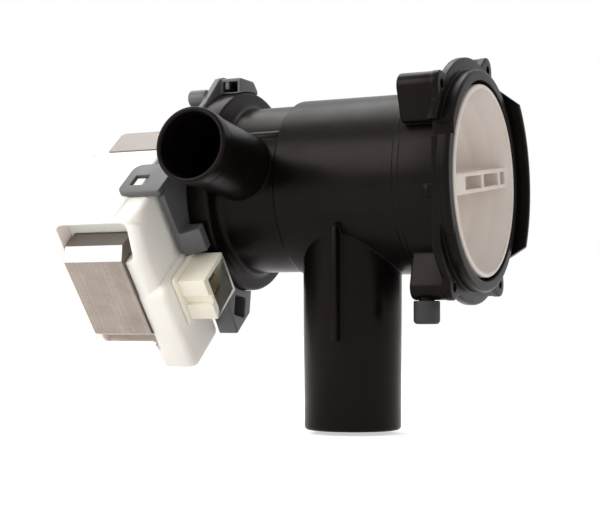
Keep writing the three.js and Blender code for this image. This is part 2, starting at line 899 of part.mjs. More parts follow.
function clipWindow() {
  const halfX = tabWindowWidth / 2;
  const halfY = tabWindowLength / 2;
  const opening = box(windowX - halfX, windowX + halfX, windowY - halfY, windowY + halfY,
    -plateHalf - cutOver, cutOver - plateHalf + tabThick);
  return opening.rotate([motorAngle, 0, 0]);
}

function motorFlange() {
  const spigotOuter = pocketBore - seatGap;
  const spigot = ring(spigotOuter - spigotWall, spigotOuter, plateFront - plateThick / 2,
    bearingPlateEnd - seatGap);
  const can = turned([
    [plateEnd, 0],
    [plateEnd, canRadius],
    [canEndX + canEdge, canRadius],
    [canEndX, canRadius - canEdge],
    [canEndX, 0],
  ], midSteps);
  const stand = ring(0, standRadius, plateEnd - standLength, plateEnd);
  let flange = join(motorPlate(), spigot, can, stand, armSolid(), clipTab());
  for (let i = 0; i < latchAngles.length; i += 1) {
    flange = flange.add(latchSolid(i)).subtract(latchPocket(i));
  }
  flange = flange.add(post(-rearBossY, rearBossZ, rearBossRadius, plateEnd - rearBossLength,
    plateEnd + seatGap, rearBossRadius / 4));
  const bore = ring(0, canBore, canEndX + canEnd, plateFront + cutOver, midSteps);
  return flange.subtract(bore).subtract(clipWindow());
}

put('motor_flange', motorFlange(), greyPlastic);

// Bearing plate behind the impeller, with its seals and bearings

const hubBore = bearingRadius + seatGap;
const lipFront = bearingPlateFront - lipSealWall;

function bearingPlate() {
  const rim = pocketBore - seatGap;
  const plate = ring(0, rim, bearingPlateEnd, bearingPlateFront);
  const hub = ring(0, bearingHubRadius, hubEnd, bearingPlateFront, midSteps);
  const bore = ring(0, hubBore, hubEnd - cutOver, bearingPlateFront + cutOver, midSteps);
  const groove = ring(chamberBore + pocketWall, rim - pocketWall, bearingPlateFront - chamberSealSection,
    bearingPlateFront + cutOver);
  return join(plate, hub).subtract(bore).subtract(groove);
}

put('bearing_plate', bearingPlate(), greyPlastic);

const sealMiddle = (chamberBore + pocketWall + pocketBore - seatGap - pocketWall) / 2;
put('chamber_seal', ring(sealMiddle - chamberSealSection / 2, sealMiddle + chamberSealSection / 2,
  bearingPlateFront - chamberSealSection + seatGap / 2, bearingPlateFront + seatGap / 2), rubber);

const bore = shaftRadius + shaftGap;
const frontBearingX = bearingPlateFront - lipSealLength - seatGap;
put('shaft_seal', turned([
  [lipFront - lipSealLength + lipSealWall, bearingRadius],
  [lipFront + lipSealWall, bearingRadius],
  [lipFront + lipSealWall, bore],
  [lipFront, bore],
  [lipFront, bearingRadius - lipSealWall],
  [lipFront - lipSealLength + lipSealWall, bearingRadius - lipSealWall],
  [lipFront - lipSealLength + lipSealWall, bearingRadius],
], midSteps), rubber);
const frontBearingEnd = frontBearingX - bearingLength;
put('front_bearing', ring(bore, bearingRadius, frontBearingEnd, frontBearingX, midSteps), carbon);

const rearSeat = canEndX + canEnd + seatGap;
put('rear_bearing', ring(bore, canBore - seatGap, rearSeat, rearSeat + rearBearingLength, midSteps), carbon);

const magnetEnd = rearSeat + rearBearingLength + washerThick + runGap;
const magnetFront = magnetEnd + magnetLength;
const rearWasherFront = magnetEnd - runGap / 2;
const frontWasherFront = frontBearingEnd - runGap;
put('rear_thrust_washer', ring(bore, washerRadius, rearWasherFront - washerThick, rearWasherFront,
  smallSteps), brownResin);
put('front_thrust_washer', ring(bore, washerRadius, frontWasherFront - washerThick, frontWasherFront,
  smallSteps), brownResin);

put('rotor_magnet', turned([
  [magnetEnd, shaftRadius + seatGap / 2],
  [magnetEnd, magnetRadius - magnetEdge],
  [magnetEnd + magnetEdge, magnetRadius],
  [magnetFront - magnetEdge, magnetRadius],
  [magnetFront, magnetRadius - magnetEdge],
  [magnetFront, shaftRadius + seatGap / 2],
  [magnetEnd, shaftRadius + seatGap / 2],
], midSteps), ferrite);

const dogBack = chamberEnd + chamberPlay + impellerDiscThick + runGap;
const dogFront = dogBack + dogLength;
put('rotor_shaft', ring(0, shaftRadius, rearSeat + seatGap, dogFront - seatGap, smallSteps), steel);

// Drive dog on the shaft and the impeller round it
function driveDog() {
  const body = ring(shaftRadius + seatGap / 2, dogRadius, dogBack, dogFront, smallSteps);
  const key = box(dogBack, dogFront, dogRadius - dogPlay, dogRadius + dogKeyReach, -dogKeyWidth / 2,
    dogKeyWidth / 2);
  return body.add(key);
}

put('drive_dog', driveDog(), brownResin);

const hubBoreRadius = dogRadius + dogKeyReach + dogPlay;
const hubRadius = hubBoreRadius + hubWall;
const impellerBack = chamberEnd + chamberPlay;

function impeller() {
  const front = impellerBack + vaneHeight;
  const disc = ring(0, impellerDisc, impellerBack, impellerBack + impellerDiscThick, midSteps);
  const hubFront = dogFront + runGap + hubWall;
  const hub = turned([
    [impellerBack, 0],
    [impellerBack, hubRadius],
    [hubFront - hubWall, hubRadius],
    [hubFront, hubRadius - hubWall],
    [hubFront, 0],
  ], midSteps);
  let wheel = disc.add(hub);
  for (let i = 0; i < vaneCount; i += 1) {
    const vane = box(impellerBack, front, hubRadius - hubWall, vaneRadius, -vaneThick / 2, vaneThick / 2);
    wheel = wheel.add(vane.rotate([360 * i / vaneCount, 0, 0]));
  }
  const hollow = ring(0, hubBoreRadius, impellerBack + impellerDiscThick, dogFront + runGap, midSteps);
  const shaftHole = ring(0, shaftRadius + runGap, impellerBack - cutOver, dogFront, smallSteps);
  const stop = box(dogBack, dogFront, -hubBoreRadius - hubWall / 2, -dogRadius - dogPlay, -dogKeyWidth / 2,
    dogKeyWidth / 2);
  return wheel.subtract(hollow).subtract(shaftHole).add(stop);
}

put('impeller', impeller(), brownResin);

// Stator, in the motor's own turned frame: Y runs from the rotor to the yoke

const legEnd = yokeFace - yokeDepth - seatGap;

function poleShape(side) {
  const shape = new THREE.Shape();
  const inner = canRadius + poleGap;
  const start = Math.asin(poleSplit / inner);
  shape.moveTo(legEnd, side * legInner);
  shape.lineTo(legEnd, side * legOuter);
  shape.lineTo(poleFoot, side * legOuter);
  shape.lineTo(poleFoot, side * poleHalf);
  shape.lineTo(poleTop, side * poleHalf);
  shape.lineTo(-poleNose, side * noseHalf);
  shape.lineTo(-inner, side * (noseHalf + inner) / 2);
  shape.lineTo(-inner * Math.cos(start), side * poleSplit);
  shape.absarc(0, 0, inner, side * (Math.PI - start), side * start, side > 0);
  shape.lineTo(inner + poleGap * 2, side * poleSplit);
  shape.lineTo(inner + (legInner - poleSplit), side * legInner);
  return shape;
}

function pole(side) {
  return slab(poleShape(side), stackEnd, stackFront, 0, smallSteps);
}

put('stator_pole_upper', pole(-1), laminated, motor);
put('stator_pole_lower', pole(1), laminated, motor);

function yoke() {
  const back = yokeFace - yokeDepth;
  const shape = polygon([
    [back, -legOuter],
    [yokeFace - yokeChamfer, -legOuter],
    [yokeFace, -legOuter + yokeChamfer],
    [yokeFace, legOuter - yokeChamfer],
    [yokeFace - yokeChamfer, legOuter],
    [back, legOuter],
  ]);
  const notch = box(stackEnd - cutOver, stackFront + cutOver, back - cutOver, back + yokeNotch,
    -legInner + yokeNotch, legInner - yokeNotch);
  return slab(shape, stackEnd, stackFront).subtract(notch);
}

put('stator_yoke', yoke(), laminated, motor);

// A bobbin is a square tube with two flanges, slid over a leg.
const bobbinStart = blockInner + blockWall;
const bobbinEnd = legEnd - seatGap;
const bobbinReach = seatGap * 2 + bobbinWall + windingDepth;

function loopSolid(side, from, to, inside, outside, edge) {
  const x0 = stackEnd - outside;
  const x1 = stackFront + outside;
  const z0 = legInner - outside;
  const z1 = legOuter + outside;
  const outer = plan(x0, x1, Math.max(z0, seatGap), z1, side, from, to, edge);
  const hole = plan(stackEnd - inside, stackFront + inside, legInner - inside, legOuter + inside, side,
    from - cutOver, to + cutOver, 0);
  return outer.subtract(hole);
}

// A rounded block whose outline lies in the XZ plane, drawn out along Y.
function plan(x0, x1, z0, z1, side, from, to, corner) {
  const low = Math.min(side * z0, side * z1);
  const high = Math.max(side * z0, side * z1);
  if (corner <= 0) {
    return box(x0, x1, from, to, low, high);
  }
  return drawnAlongY(roundedRectangle(x0, low, x1, high, corner), from, to);
}

function bobbin(side) {
  const core = loopSolid(side, bobbinStart, bobbinEnd, seatGap, seatGap + bobbinWall, 0);
  const near = loopSolid(side, bobbinStart, bobbinStart + bobbinFlange, seatGap, bobbinReach, windingEdge);
  const far = loopSolid(side, bobbinEnd - bobbinFlange, bobbinEnd, seatGap, bobbinReach, windingEdge);
  return join(core, near, far);
}

function winding(side) {
  const inside = seatGap * 2 + bobbinWall;
  return loopSolid(side, bobbinStart + bobbinFlange + seatGap, bobbinEnd - bobbinFlange - seatGap, inside,
    inside + windingDepth, windingEdge);
}

put('bobbin_upper', bobbin(-1), brownResin, motor);
put('bobbin_lower', bobbin(1), brownResin, motor);
put('winding_upper', winding(-1), copper, motor);
put('winding_lower', winding(1), copper, motor);

// Moulded block round the coils: a frame round the yoke, and a thicker part for the terminals
const cavityHalf = legOuter + bobbinReach + seatGap;
const cavityEnd = stackEnd - bobbinReach - seatGap;
const cavityFront = stackFront + bobbinReach + seatGap;
const blockFoot = cavityHalf + blockWall;
const blockEnd = cavityEnd - blockRear;
const blockReach = poleFoot + seatGap;
const blockFront = stackFront + terminalReach;
const pocketFloor = bobbinEnd + seatGap + blockWall;

function coilBlock() {
  const rear = roundedRectangle(blockReach, -blockTop, blockFace, blockFoot, blockCorner);
  const frame = roundedRectangle(blockInner, -blockTop, blockFace, blockFoot, blockCorner);
  const thick = roundedRectangle(blockInner, -terminalTop, terminalFace, terminalFoot, blockCorner);
  let block = slab(rear, blockEnd, stackFront, blockEdge);
  block = block.add(slab(frame, stackEnd, stackFront + blockSetback, blockEdge));
  block = block.add(slab(thick, blockFront - terminalLength, blockFront, blockEdge));
  const ear = box(tabEnd, stackFront + blockSetback - blockEdge, earInner, blockInner + blockCorner,
    -blockTop, earThick - blockTop);
  block = block.add(ear);
  const cavity = box(cavityEnd, cavityFront, bobbinStart - seatGap, bobbinEnd + seatGap,
    -cavityHalf, cavityHalf);
  const room = box(stackEnd - seatGap, stackFront + seatGap, 0, terminalFace + cutOver, -legOuter - seatGap,
    legOuter + seatGap);
  const high = plan(stackEnd - windowMargin, stackFront + pocketReach, -pocketTop, -pocketShoulder, 1,
    pocketFloor, terminalFace + cutOver, windowMargin);
  const low = plan(stackEnd - windowMargin, stackFront + seatGap, -pocketTop + windowMargin, pocketFoot, 1,
    pocketFloor, terminalFace + cutOver, 0);
  return block.subtract(cavity).subtract(room).subtract(high).subtract(low).add(nub());
}

// The nub snaps into the clip tab's window.
function nub() {
  const half = tabWindowLength / 2 - runGap;
  return box(windowX - tabWindowWidth / 2 + runGap, windowX + tabWindowWidth / 2 - runGap, windowY - half,
    windowY + half, -blockTop - nubProud, blockEdge - blockTop);
}

put('coil_block', coilBlock(), creamPlastic, motor);

// Connector on the block's front face
const socketBack = blockFront + seatGap;
const socketFront = socketBack + collarPlate + socketDepth;
const socketEnd = socketStart + socketWidth;
const socketLow = socketShift - socketHeight / 2;
const socketHigh = socketShift + socketHeight / 2;

function connector() {
  const plate = roundedRectangle(socketStart, socketLow - collarMargin, socketEnd + collarMargin,
    socketHigh + collarMargin, collarMargin);
  const body = box(socketBack, socketFront, socketStart, socketEnd, socketLow, socketHigh);
  let socket = slab(plate, socketBack, socketBack + collarPlate).add(body);
  const room = box(socketBack + socketFloor, socketFront + cutOver, socketStart + socketWall,
    socketEnd - socketWall - keyDepth, socketLow + socketWall, socketHigh - socketWall);
  const key = box(socketBack + collarPlate, socketFront + cutOver, socketEnd - keyDepth, socketEnd + cutOver,
    socketShift - keyWidth / 2, socketShift + keyWidth / 2);
  socket = socket.subtract(room).subtract(key);
  for (const side of [-1, 1]) {
    socket = socket.subtract(bladeRoom(side));
  }
  return socket;
}

const bladeMiddle = (socketStart + socketEnd - keyDepth) / 2;

function bladeRoom(side) {
  const z = socketShift + side * tabBladePitch / 2;
  return box(socketBack - cutOver, socketBack + socketFloor + cutOver,
    bladeMiddle - tabBladeWidth / 2 - seatGap, bladeMiddle + tabBladeWidth / 2 + seatGap,
    z - tabBladeThick / 2 - seatGap, z + tabBladeThick / 2 + seatGap);
}

function blade(side) {
  const z = socketShift + side * tabBladePitch / 2;
  return box(socketBack + socketFloor - tabBladeTail, socketBack + socketFloor + tabBladeReach,
    bladeMiddle - tabBladeWidth / 2, bladeMiddle + tabBladeWidth / 2,
    z - tabBladeThick / 2, z + tabBladeThick / 2);
}

put('connector_socket', connector(), ivoryPlastic, motor);
put('terminal_tab_1', blade(-1), steel, motor);
put('terminal_tab_2', blade(1), steel, motor);

export default group;
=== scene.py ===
import math
import bmesh
import bpy
from mathutils import Matrix, Vector


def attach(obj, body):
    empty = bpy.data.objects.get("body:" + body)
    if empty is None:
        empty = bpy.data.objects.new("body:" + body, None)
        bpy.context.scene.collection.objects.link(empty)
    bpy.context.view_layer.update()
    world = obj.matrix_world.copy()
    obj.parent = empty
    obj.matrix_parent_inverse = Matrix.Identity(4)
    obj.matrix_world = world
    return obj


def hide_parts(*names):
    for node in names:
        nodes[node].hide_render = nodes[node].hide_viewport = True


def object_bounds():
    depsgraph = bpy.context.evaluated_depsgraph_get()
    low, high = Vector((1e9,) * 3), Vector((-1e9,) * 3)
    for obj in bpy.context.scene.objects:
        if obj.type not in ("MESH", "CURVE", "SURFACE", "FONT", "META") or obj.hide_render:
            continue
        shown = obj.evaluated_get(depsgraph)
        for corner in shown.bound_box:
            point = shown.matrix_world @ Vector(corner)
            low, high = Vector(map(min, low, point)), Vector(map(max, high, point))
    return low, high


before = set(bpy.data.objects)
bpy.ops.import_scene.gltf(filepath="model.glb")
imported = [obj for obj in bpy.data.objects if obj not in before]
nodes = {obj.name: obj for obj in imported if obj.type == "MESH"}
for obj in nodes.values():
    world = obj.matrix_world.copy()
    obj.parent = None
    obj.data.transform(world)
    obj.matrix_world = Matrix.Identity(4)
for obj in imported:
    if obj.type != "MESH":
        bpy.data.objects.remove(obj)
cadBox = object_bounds()
scene = bpy.context.scene
print("stage: frame loaded,", len(nodes), "CAD nodes")

# Pieces are built in millimetres and scaled to metres when they are placed.
millimetre = 0.001
motorAngle = 219.3  # the stator's direction about the barrel axis
cutOver = 1.0  # how far a cutting solid reaches past what it cuts
sharpAngle = 28  # steeper edges stay sharp
roundSteps = 112  # facets round a turned piece
postSteps = 40
discSteps = 180
weldDistance = 1e-4
tiny = 1e-6


# Outlines and basic solids

def radial(radius, degrees):
    angle = math.radians(degrees)
    return radius * math.cos(angle), radius * math.sin(angle)


def arc(cx, cy, radius, start, end, steps):
    points = []
    for i in range(steps + 1):
        dx, dy = radial(radius, start + (end - start) * i / steps)
        points.append((cx + dx, cy + dy))
    return points


def roundedBox(x0, y0, x1, y1, radius, steps=6):
    return (arc(x1 - radius, y0 + radius, radius, -90, 0, steps)
            + arc(x1 - radius, y1 - radius, radius, 0, 90, steps)
            + arc(x0 + radius, y1 - radius, radius, 90, 180, steps)
            + arc(x0 + radius, y0 + radius, radius, 180, 270, steps))


def filleted(corners, steps=5):
    points = []
    count = len(corners)
    for i, corner in enumerate(corners):
        here = Vector(corner[:2])
        radius = corner[2] if len(corner) > 2 else 0
        if radius <= 0:
            points.append(tuple(here))
            continue
        before = Vector(corners[i - 1][:2])
        after = Vector(corners[(i + 1) % count][:2])
        toBefore = (before - here).normalized()
        toAfter = (after - here).normalized()
        half = toBefore.angle(toAfter) / 2
        room = min((before - here).length, (after - here).length) * 0.49
        reach = min(radius / math.tan(half), room)
        radius = reach * math.tan(half)
        centre = here + (toBefore + toAfter).normalized() * (radius / math.sin(half))
        start = here + toBefore * reach - centre
        end = here + toAfter * reach - centre
        turn = math.atan2(start.x * end.y - start.y * end.x, start.dot(end))
        for k in range(steps + 1):
            share = Matrix.Rotation(turn * k / steps, 2)
            points.append(tuple(centre + share @ start))
    return points


def disc(radius):
    return arc(0, 0, radius, 0, 360 - 360 / discSteps, discSteps - 1)


def capsule(startY, startZ, startRadius, endY, endZ, endRadius, steps=12):
    length = math.hypot(endY - startY, endZ - startZ)
    heading = math.degrees(math.atan2(endZ - startZ, endY - startY))
    lean = math.degrees(math.acos((startRadius - endRadius) / length))
    return (arc(startY, startZ, startRadius, heading + lean, heading + 360 - lean, steps * 2)
            + arc(endY, endZ, endRadius, heading - lean, heading + lean, steps))


def insetOutline(points, amount):
    area = sum(a[0] * b[1] - b[0] * a[1] for a, b in zip(points, points[1:] + points[:1]))
    side = 1 if area > 0 else -1
    loop = []
    count = len(points)
    for i in range(count):
        a, b, c = Vector(points[i - 1]), Vector(points[i]), Vector(points[(i + 1) % count])
        first, second = b - a, c - b
        if first.length < tiny:
            first = second
        if second.length < tiny:
            second = first
        normalOne = Vector((-first.y, first.x)).normalized()
        normalTwo = Vector((-second.y, second.x)).normalized()
        normal = normalOne + normalTwo
        if normal.length < tiny:
            normal = normalOne
        normal.normalize()
        stretch = 1 / max(normal.dot(normalOne), 0.5)
        loop.append(tuple(b + normal * amount * side * stretch))
    return loop


def meshPiece(vertices, faces):
    mesh = bpy.data.meshes.new("working")
    mesh.from_pydata(vertices, [], faces)
    edit = bmesh.new()
    edit.from_mesh(mesh)
    bmesh.ops.remove_doubles(edit, verts=edit.verts, dist=weldDistance)
    bmesh.ops.recalc_face_normals(edit, faces=edit.faces)
    if edit.calc_volume(signed=True) < 0:
        bmesh.ops.reverse_faces(edit, faces=edit.faces)
    edit.to_mesh(mesh)
    edit.free()
    piece = bpy.data.objects.new("working", mesh)
    scene.collection.objects.link(piece)
    return piece


# A lathe about the barrel axis: the profile is (x, radius).
def turned(profile):
    closed = profile[0] == profile[-1]
    stations = profile[:-1] if closed else profile
    vertices, rings = [], []
    for x, r in stations:
        if r <= tiny:
            rings.append([len(vertices)])
            vertices.append((x, 0, 0))
            continue
        rings.append(list(range(len(vertices), len(vertices) + roundSteps)))
        for k in range(roundSteps):
            y, z = radial(r, 360 * k / roundSteps)
            vertices.append((x, y, z))
    faces = []
    pairs = list(zip(rings, rings[1:]))
    if closed:
        pairs.append((rings[-1], rings[0]))
    for one, two in pairs:
        if len(one) == 1 and len(two) == 1:
            continue
        for k in range(roundSteps):
            n = (k + 1) % roundSteps
            if len(one) == 1:
                faces.append((one[0], two[k], two[n]))
            elif len(two) == 1:
                faces.append((one[k], one[n], two[0]))
            else:
                faces.append((one[k], one[n], two[n], two[k]))
    return meshPiece(vertices, faces)


def ring(inner, outer, start, end):
    low, high = min(start, end), max(start, end)
    if inner <= 0:
        return turned([(low, 0), (low, outer), (high, outer), (high, 0)])
    return turned([(low, inner), (low, outer), (high, outer), (high, inner), (low, inner)])


def placed(axis, a, b, c):
    return {"X": (c, a, b), "Y": (a, c, b), "Z": (a, b, c)}[axis]


# An outline carried along an axis, with rounded edges of the given radius.
def prism(outline, low, high, edge=0, axis="X", edgeSteps=3):
    layers = [(low, 0), (high, 0)]
    if edge > 0:
        bottom = []
        for k in range(edgeSteps + 1):
            angle = math.pi / 2 * k / edgeSteps
            bottom.append((low + edge * (1 - math.sin(angle)), edge * (1 - math.cos(angle))))
        top = [(low + high - x, inset) for x, inset in bottom]
        layers = sorted(bottom[::-1] + top, key=lambda layer: layer[0])
    vertices, faces = [], []
    count = len(outline)
    for station, inset in layers:
        loop = insetOutline(outline, inset) if inset > tiny else outline
        vertices += [placed(axis, a, b, station) for a, b in loop]
    for level in range(len(layers) - 1):
        one, two = level * count, (level + 1) * count
        for k in range(count):
            n = (k + 1) % count
            faces.append((one + k, one + n, two + n, two + k))
    faces.append(tuple(range(count)))
    faces.append(tuple(range(len(vertices) - count, len(vertices))))
    return meshPiece(vertices, faces)


def block(x0, x1, y0, y1, z0, z1, edge=0):
    if edge > 0:
        return prism(roundedBox(y0, z0, y1, z1, edge, 3), x0, x1, edge)
    return prism([(y0, z0), (y1, z0), (y1, z1), (y0, z1)], x0, x1)


def moved(piece, matrix):
    piece.data.transform(matrix)
    return piece


def turnedAbout(piece, degrees, axis="X"):
    return moved(piece, Matrix.Rotation(math.radians(degrees), 4, axis))


def post(y, z, radius, low, high, edge=0):
    outline = arc(y, z, radius, 0, 360 * (postSteps - 1) / postSteps, postSteps - 1)
    return prism(outline, low, high, edge)


# A lathe about a vertical axis: the profile is (radius, z).
def upright(profile, x, y):
    piece = turned([(z, r) for r, z in profile])
    return moved(piece, Matrix.Translation((x, y, 0)) @ Matrix.Rotation(math.radians(-90), 4, "Y"))


def combined(kind, piece, others):
    for other in others:
        change = piece.modifiers.new("join", "BOOLEAN")
        change.operation = kind
        change.solver = "MANIFOLD"
        change.object = other
        graph = bpy.context.evaluated_depsgraph_get()
        result = bpy.data.meshes.new_from_object(piece.evaluated_get(graph))
        piece.modifiers.clear()
        if len(result.polygons) == 0:
            print("empty result of", kind, "on", len(piece.data.polygons), "faces")
        piece.data = result
        bpy.data.objects.remove(other)
    return piece


def joined(piece, *others):
    return combined("UNION", piece, others)


def cut(piece, *others):
    return combined("DIFFERENCE", piece, others)


def common(piece, *others):
    return combined("INTERSECT", piece, others)


def finished(piece, name, body, material, node):
    piece.name = name
    piece.data.name = name
    piece.data.transform(Matrix.Scale(millimetre, 4))
    edit = bmesh.new()
    edit.from_mesh(piece.data)
    bmesh.ops.remove_doubles(edit, verts=edit.verts, dist=tiny * 2)
    limit = math.radians(sharpAngle)
    for face in edit.faces:
        face.smooth = True
    for e in edit.edges:
        e.smooth = len(e.link_faces) == 2 and e.calc_face_angle(0) < limit
    edit.to_mesh(piece.data)
    edit.free()
    piece.data.materials.clear()
    piece.data.materials.append(material)
    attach(piece, body)
    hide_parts(node)
    print("piece:", name, len(piece.data.polygons), "faces")


# Materials

# A node group that gives a colour, a roughness and a normal. An input's kind follows its value.
def makeGroup(name, inputs):
    tree = bpy.data.node_groups.new(name, "ShaderNodeTree")
    for label, value in inputs.items():
        size = len(value) if isinstance(value, tuple) else 1
        kind = {1: "NodeSocketFloat", 3: "NodeSocketVector", 4: "NodeSocketColor"}[size]
        socket = tree.interface.new_socket(label, in_out="INPUT", socket_type=kind)
        socket.default_value = value
    for label, kind in [("Colour", "Color"), ("Roughness", "Float"), ("Normal", "Vector")]:
        tree.interface.new_socket(label, in_out="OUTPUT", socket_type="NodeSocket" + kind)
    return tree, put(tree, "NodeGroupInput").outputs


def emptyTree(owner):
    owner.use_nodes = True
    owner.node_tree.nodes.clear()
    return owner.node_tree


def put(tree, kind, values=None, **settings):
    node = tree.nodes.new(kind)
    for key, value in settings.items():
        setattr(node, key, value)
    for key, value in (values or {}).items():
        if hasattr(value, "is_output"):
            tree.links.new(value, node.inputs[key])
        else:
            node.inputs[key].default_value = value
    return node


def blend(tree, amount, one, two):
    return put(tree, "ShaderNodeMix", {0: amount, 6: one, 7: two}, data_type="RGBA").outputs[2]


def span(tree, value, fromLow, fromHigh, toLow, toHigh):
    return put(tree, "ShaderNodeMapRange", {
        0: value, 1: fromLow, 2: fromHigh, 3: toLow, 4: toHigh}).outputs[0]


def noise(tree, where, values):
    return put(tree, "ShaderNodeTexNoise", {"Vector": where, **values}).outputs[0]


def calculated(tree, operation, first, second=None):
    values = {0: first} if second is None else {0: first, 1: second}
    return put(tree, "ShaderNodeMath", values, operation=operation).outputs[0]


def likeness(tree, first, second):
    dot = put(tree, "ShaderNodeVectorMath", {0: first, 1: second}, operation="DOT_PRODUCT")
    return dot.outputs["Value"]


def roundedNormal(tree, samples, radius):
    return put(tree, "ShaderNodeBevel", {"Radius": radius}, samples=samples).outputs[0]


def bumped(tree, strength, distance, height, normal):
    return put(tree, "ShaderNodeBump", {
        "Strength": strength, "Distance": distance, "Height": height, "Normal": normal}).outputs[0]


# The surface of a moulding: cloudy colour, a fine grain, softened edges and lighter edge lines,
# which are a painted highlight.
def makeMoulded():
    tree, given = makeGroup("mouldedSurface", {
        "Colour": (0.5, 0.5, 0.5, 1),
        "Cloud Colour": (0.5, 0.5, 0.5, 1),
        "Edge Highlight Colour": (0.7, 0.7, 0.7, 1),
        "Cloud Scale": 60,
        "Edge Width": 0.0004,
        "Edge Highlight Amount": 0.3,
        "Roughness Low": 0.3,
        "Roughness High": 0.5,
        "Grain Scale": 3000,
        "Grain Height": 0.1,
    })
    where = put(tree, "ShaderNodeTexCoord").outputs["Object"]
    cloud = noise(tree, where, {"Scale": given["Cloud Scale"], "Detail": 4, "Roughness": 0.55})
    grain = noise(tree, where, {"Scale": given["Grain Scale"], "Detail": 2})
    soft = roundedNormal(tree, 6, given["Edge Width"])
    flat = put(tree, "ShaderNodeNewGeometry").outputs["Normal"]
    edge = span(tree, likeness(tree, soft, flat), 0.98, 0.75, 0, 1)
    # The lighter edge lines are a painted highlight mixed into the colour.
    paintedEdgeHighlight = calculated(tree, "MULTIPLY", edge, given["Edge Highlight Amount"])
    clouds = span(tree, cloud, 0.35, 0.65, 0, 1)
    base = blend(tree, clouds, given["Colour"], given["Cloud Colour"])
    rough = span(tree, cloud, 0.3, 0.7, given["Roughness Low"], given["Roughness High"])
    bump = bumped(tree, given["Grain Height"], 0.0001, grain, soft)
    colour = blend(tree, paintedEdgeHighlight, base, given["Edge Highlight Colour"])
    put(tree, "NodeGroupOutput", {"Colour": colour, "Roughness": rough, "Normal": bump})
    return tree


# Metal with fine scratches that run one way.
def makeDrawn():
    tree, given = makeGroup("drawnMetal", {
        "Colour": (0.6, 0.6, 0.6, 1),
        "Dull Colour": (0.4, 0.4, 0.4, 1),
        "Stretch": (1, 1, 1),
        "Roughness Low": 0.2,
        "Roughness High": 0.4,
    })
    where = put(tree, "ShaderNodeTexCoord").outputs["Object"]
    stretched = {0: where, 1: given["Stretch"]}
    drawn = put(tree, "ShaderNodeVectorMath", stretched, operation="MULTIPLY").outputs[0]
    lines = noise(tree, drawn, {"Scale": 900, "Detail": 3})
    spots = noise(tree, where, {"Scale": 250, "Detail": 4})
    dull = span(tree, spots, 0.4, 0.7, 0, 1)
    rough = span(tree, lines, 0.3, 0.7, given["Roughness Low"], given["Roughness High"])
    bump = bumped(tree, 0.15, 0.00005, lines, roundedNormal(tree, 4, 0.00015))
    colour = blend(tree, dull, given["Colour"], given["Dull Colour"])
    put(tree, "NodeGroupOutput", {"Colour": colour, "Roughness": rough, "Normal": bump})
    return tree


def surface(name, group, values, shader=None):
    material = bpy.data.materials.new(name)
    tree = emptyTree(material)
    effect = put(tree, "ShaderNodeGroup", values, node_tree=group)
    principled = put(tree, "ShaderNodeBsdfPrincipled", {
        "Base Color": effect.outputs["Colour"],
        "Roughness": effect.outputs["Roughness"],
        "Normal": effect.outputs["Normal"],
        **(shader or {})})
    put(tree, "ShaderNodeOutputMaterial", {"Surface": principled.outputs[0]})
    return material


moulded = makeMoulded()
drawn = makeDrawn()

# Each moulded material's edge colour is a painted highlight along its edges.
blackPlastic = surface("blackPlastic", moulded, {
    "Colour": (0.0032, 0.0023, 0.0021, 1),
    "Cloud Colour": (0.0045, 0.0033, 0.003, 1),
    "Edge Highlight Colour": (0.045, 0.036, 0.033, 1),
    "Cloud Scale": 90,
    "Edge Width": 0.0006,
    "Roughness Low": 0.27, "Roughness High": 0.36,
    "Grain Scale": 2600,
}, {
    "Specular IOR Level": 0.085,
    "Specular Tint": (1, 0.85, 0.78, 1),
})
blackRubber = surface("blackRubber", moulded, {
    "Colour": (0.012, 0.012, 0.013, 1),
    "Cloud Colour": (0.018, 0.018, 0.019, 1),
    "Edge Highlight Colour": (0.05, 0.05, 0.05, 1),
    "Cloud Scale": 200,
    "Edge Width": 0.0005, "Edge Highlight Amount": 0.2,
    "Roughness Low": 0.6, "Roughness High": 0.8,
    "Grain Scale": 1800, "Grain Height": 0.3,
})
whitePlastic = surface("whitePlastic", moulded, {
    "Colour": (0.70, 0.63, 0.575, 1),
    "Cloud Colour": (0.67, 0.60, 0.545, 1),
    "Edge Highlight Colour": (0.95, 0.92, 0.89, 1),
    "Cloud Scale": 70,
    "Edge Width": 0.0009, "Edge Highlight Amount": 0.7,
    "Roughness Low": 0.38, "Roughness High": 0.5,
    "Grain Scale": 2200, "Grain Height": 0.08,
}, {"Subsurface Weight": 0.15, "Subsurface Scale": 0.002})
greyPlastic = surface("greyPlastic", moulded, {
    "Colour": (0.082, 0.082, 0.084, 1),
    "Cloud Colour": (0.1, 0.1, 0.102, 1),
    "Edge Highlight Colour": (0.3, 0.3, 0.305, 1),
    "Cloud Scale": 80,
    "Edge Width": 0.0005,
    "Roughness Low": 0.4, "Roughness High": 0.55,
    "Grain Scale": 2400, "Grain Height": 0.15,
})
creamPlastic = surface("creamPlastic", moulded, {
    "Colour": (0.95, 0.91, 0.85, 1),
    "Cloud Colour": (0.93, 0.885, 0.82, 1),
    "Edge Highlight Colour": (0.98, 0.96, 0.92, 1),
    "Edge Width": 0.0008,
    "Roughness Low": 0.42, "Roughness High": 0.55,
    "Grain Scale": 2000,
}, {"Subsurface Weight": 0.2, "Subsurface Scale": 0.003})
ivoryPlastic = surface("ivoryPlastic", moulded, {
    "Colour": (0.93, 0.88, 0.76, 1),
    "Cloud Colour": (0.91, 0.855, 0.72, 1),
    "Edge Highlight Colour": (0.94, 0.9, 0.78, 1),
    "Cloud Scale": 90,
    "Edge Highlight Amount": 0.35,
    "Roughness Low": 0.35, "Roughness High": 0.48,
    "Grain Scale": 2400, "Grain Height": 0.08,
}, {"Subsurface Weight": 0.15, "Subsurface Scale": 0.002})
resin = surface("brownResin", moulded, {
    "Colour": (0.14, 0.10, 0.07, 1),
    "Cloud Colour": (0.17, 0.12, 0.085, 1),
    "Edge Highlight Colour": (0.3, 0.24, 0.18, 1),
    "Cloud Scale": 150,
    "Roughness Low": 0.45, "Roughness High": 0.6,
})
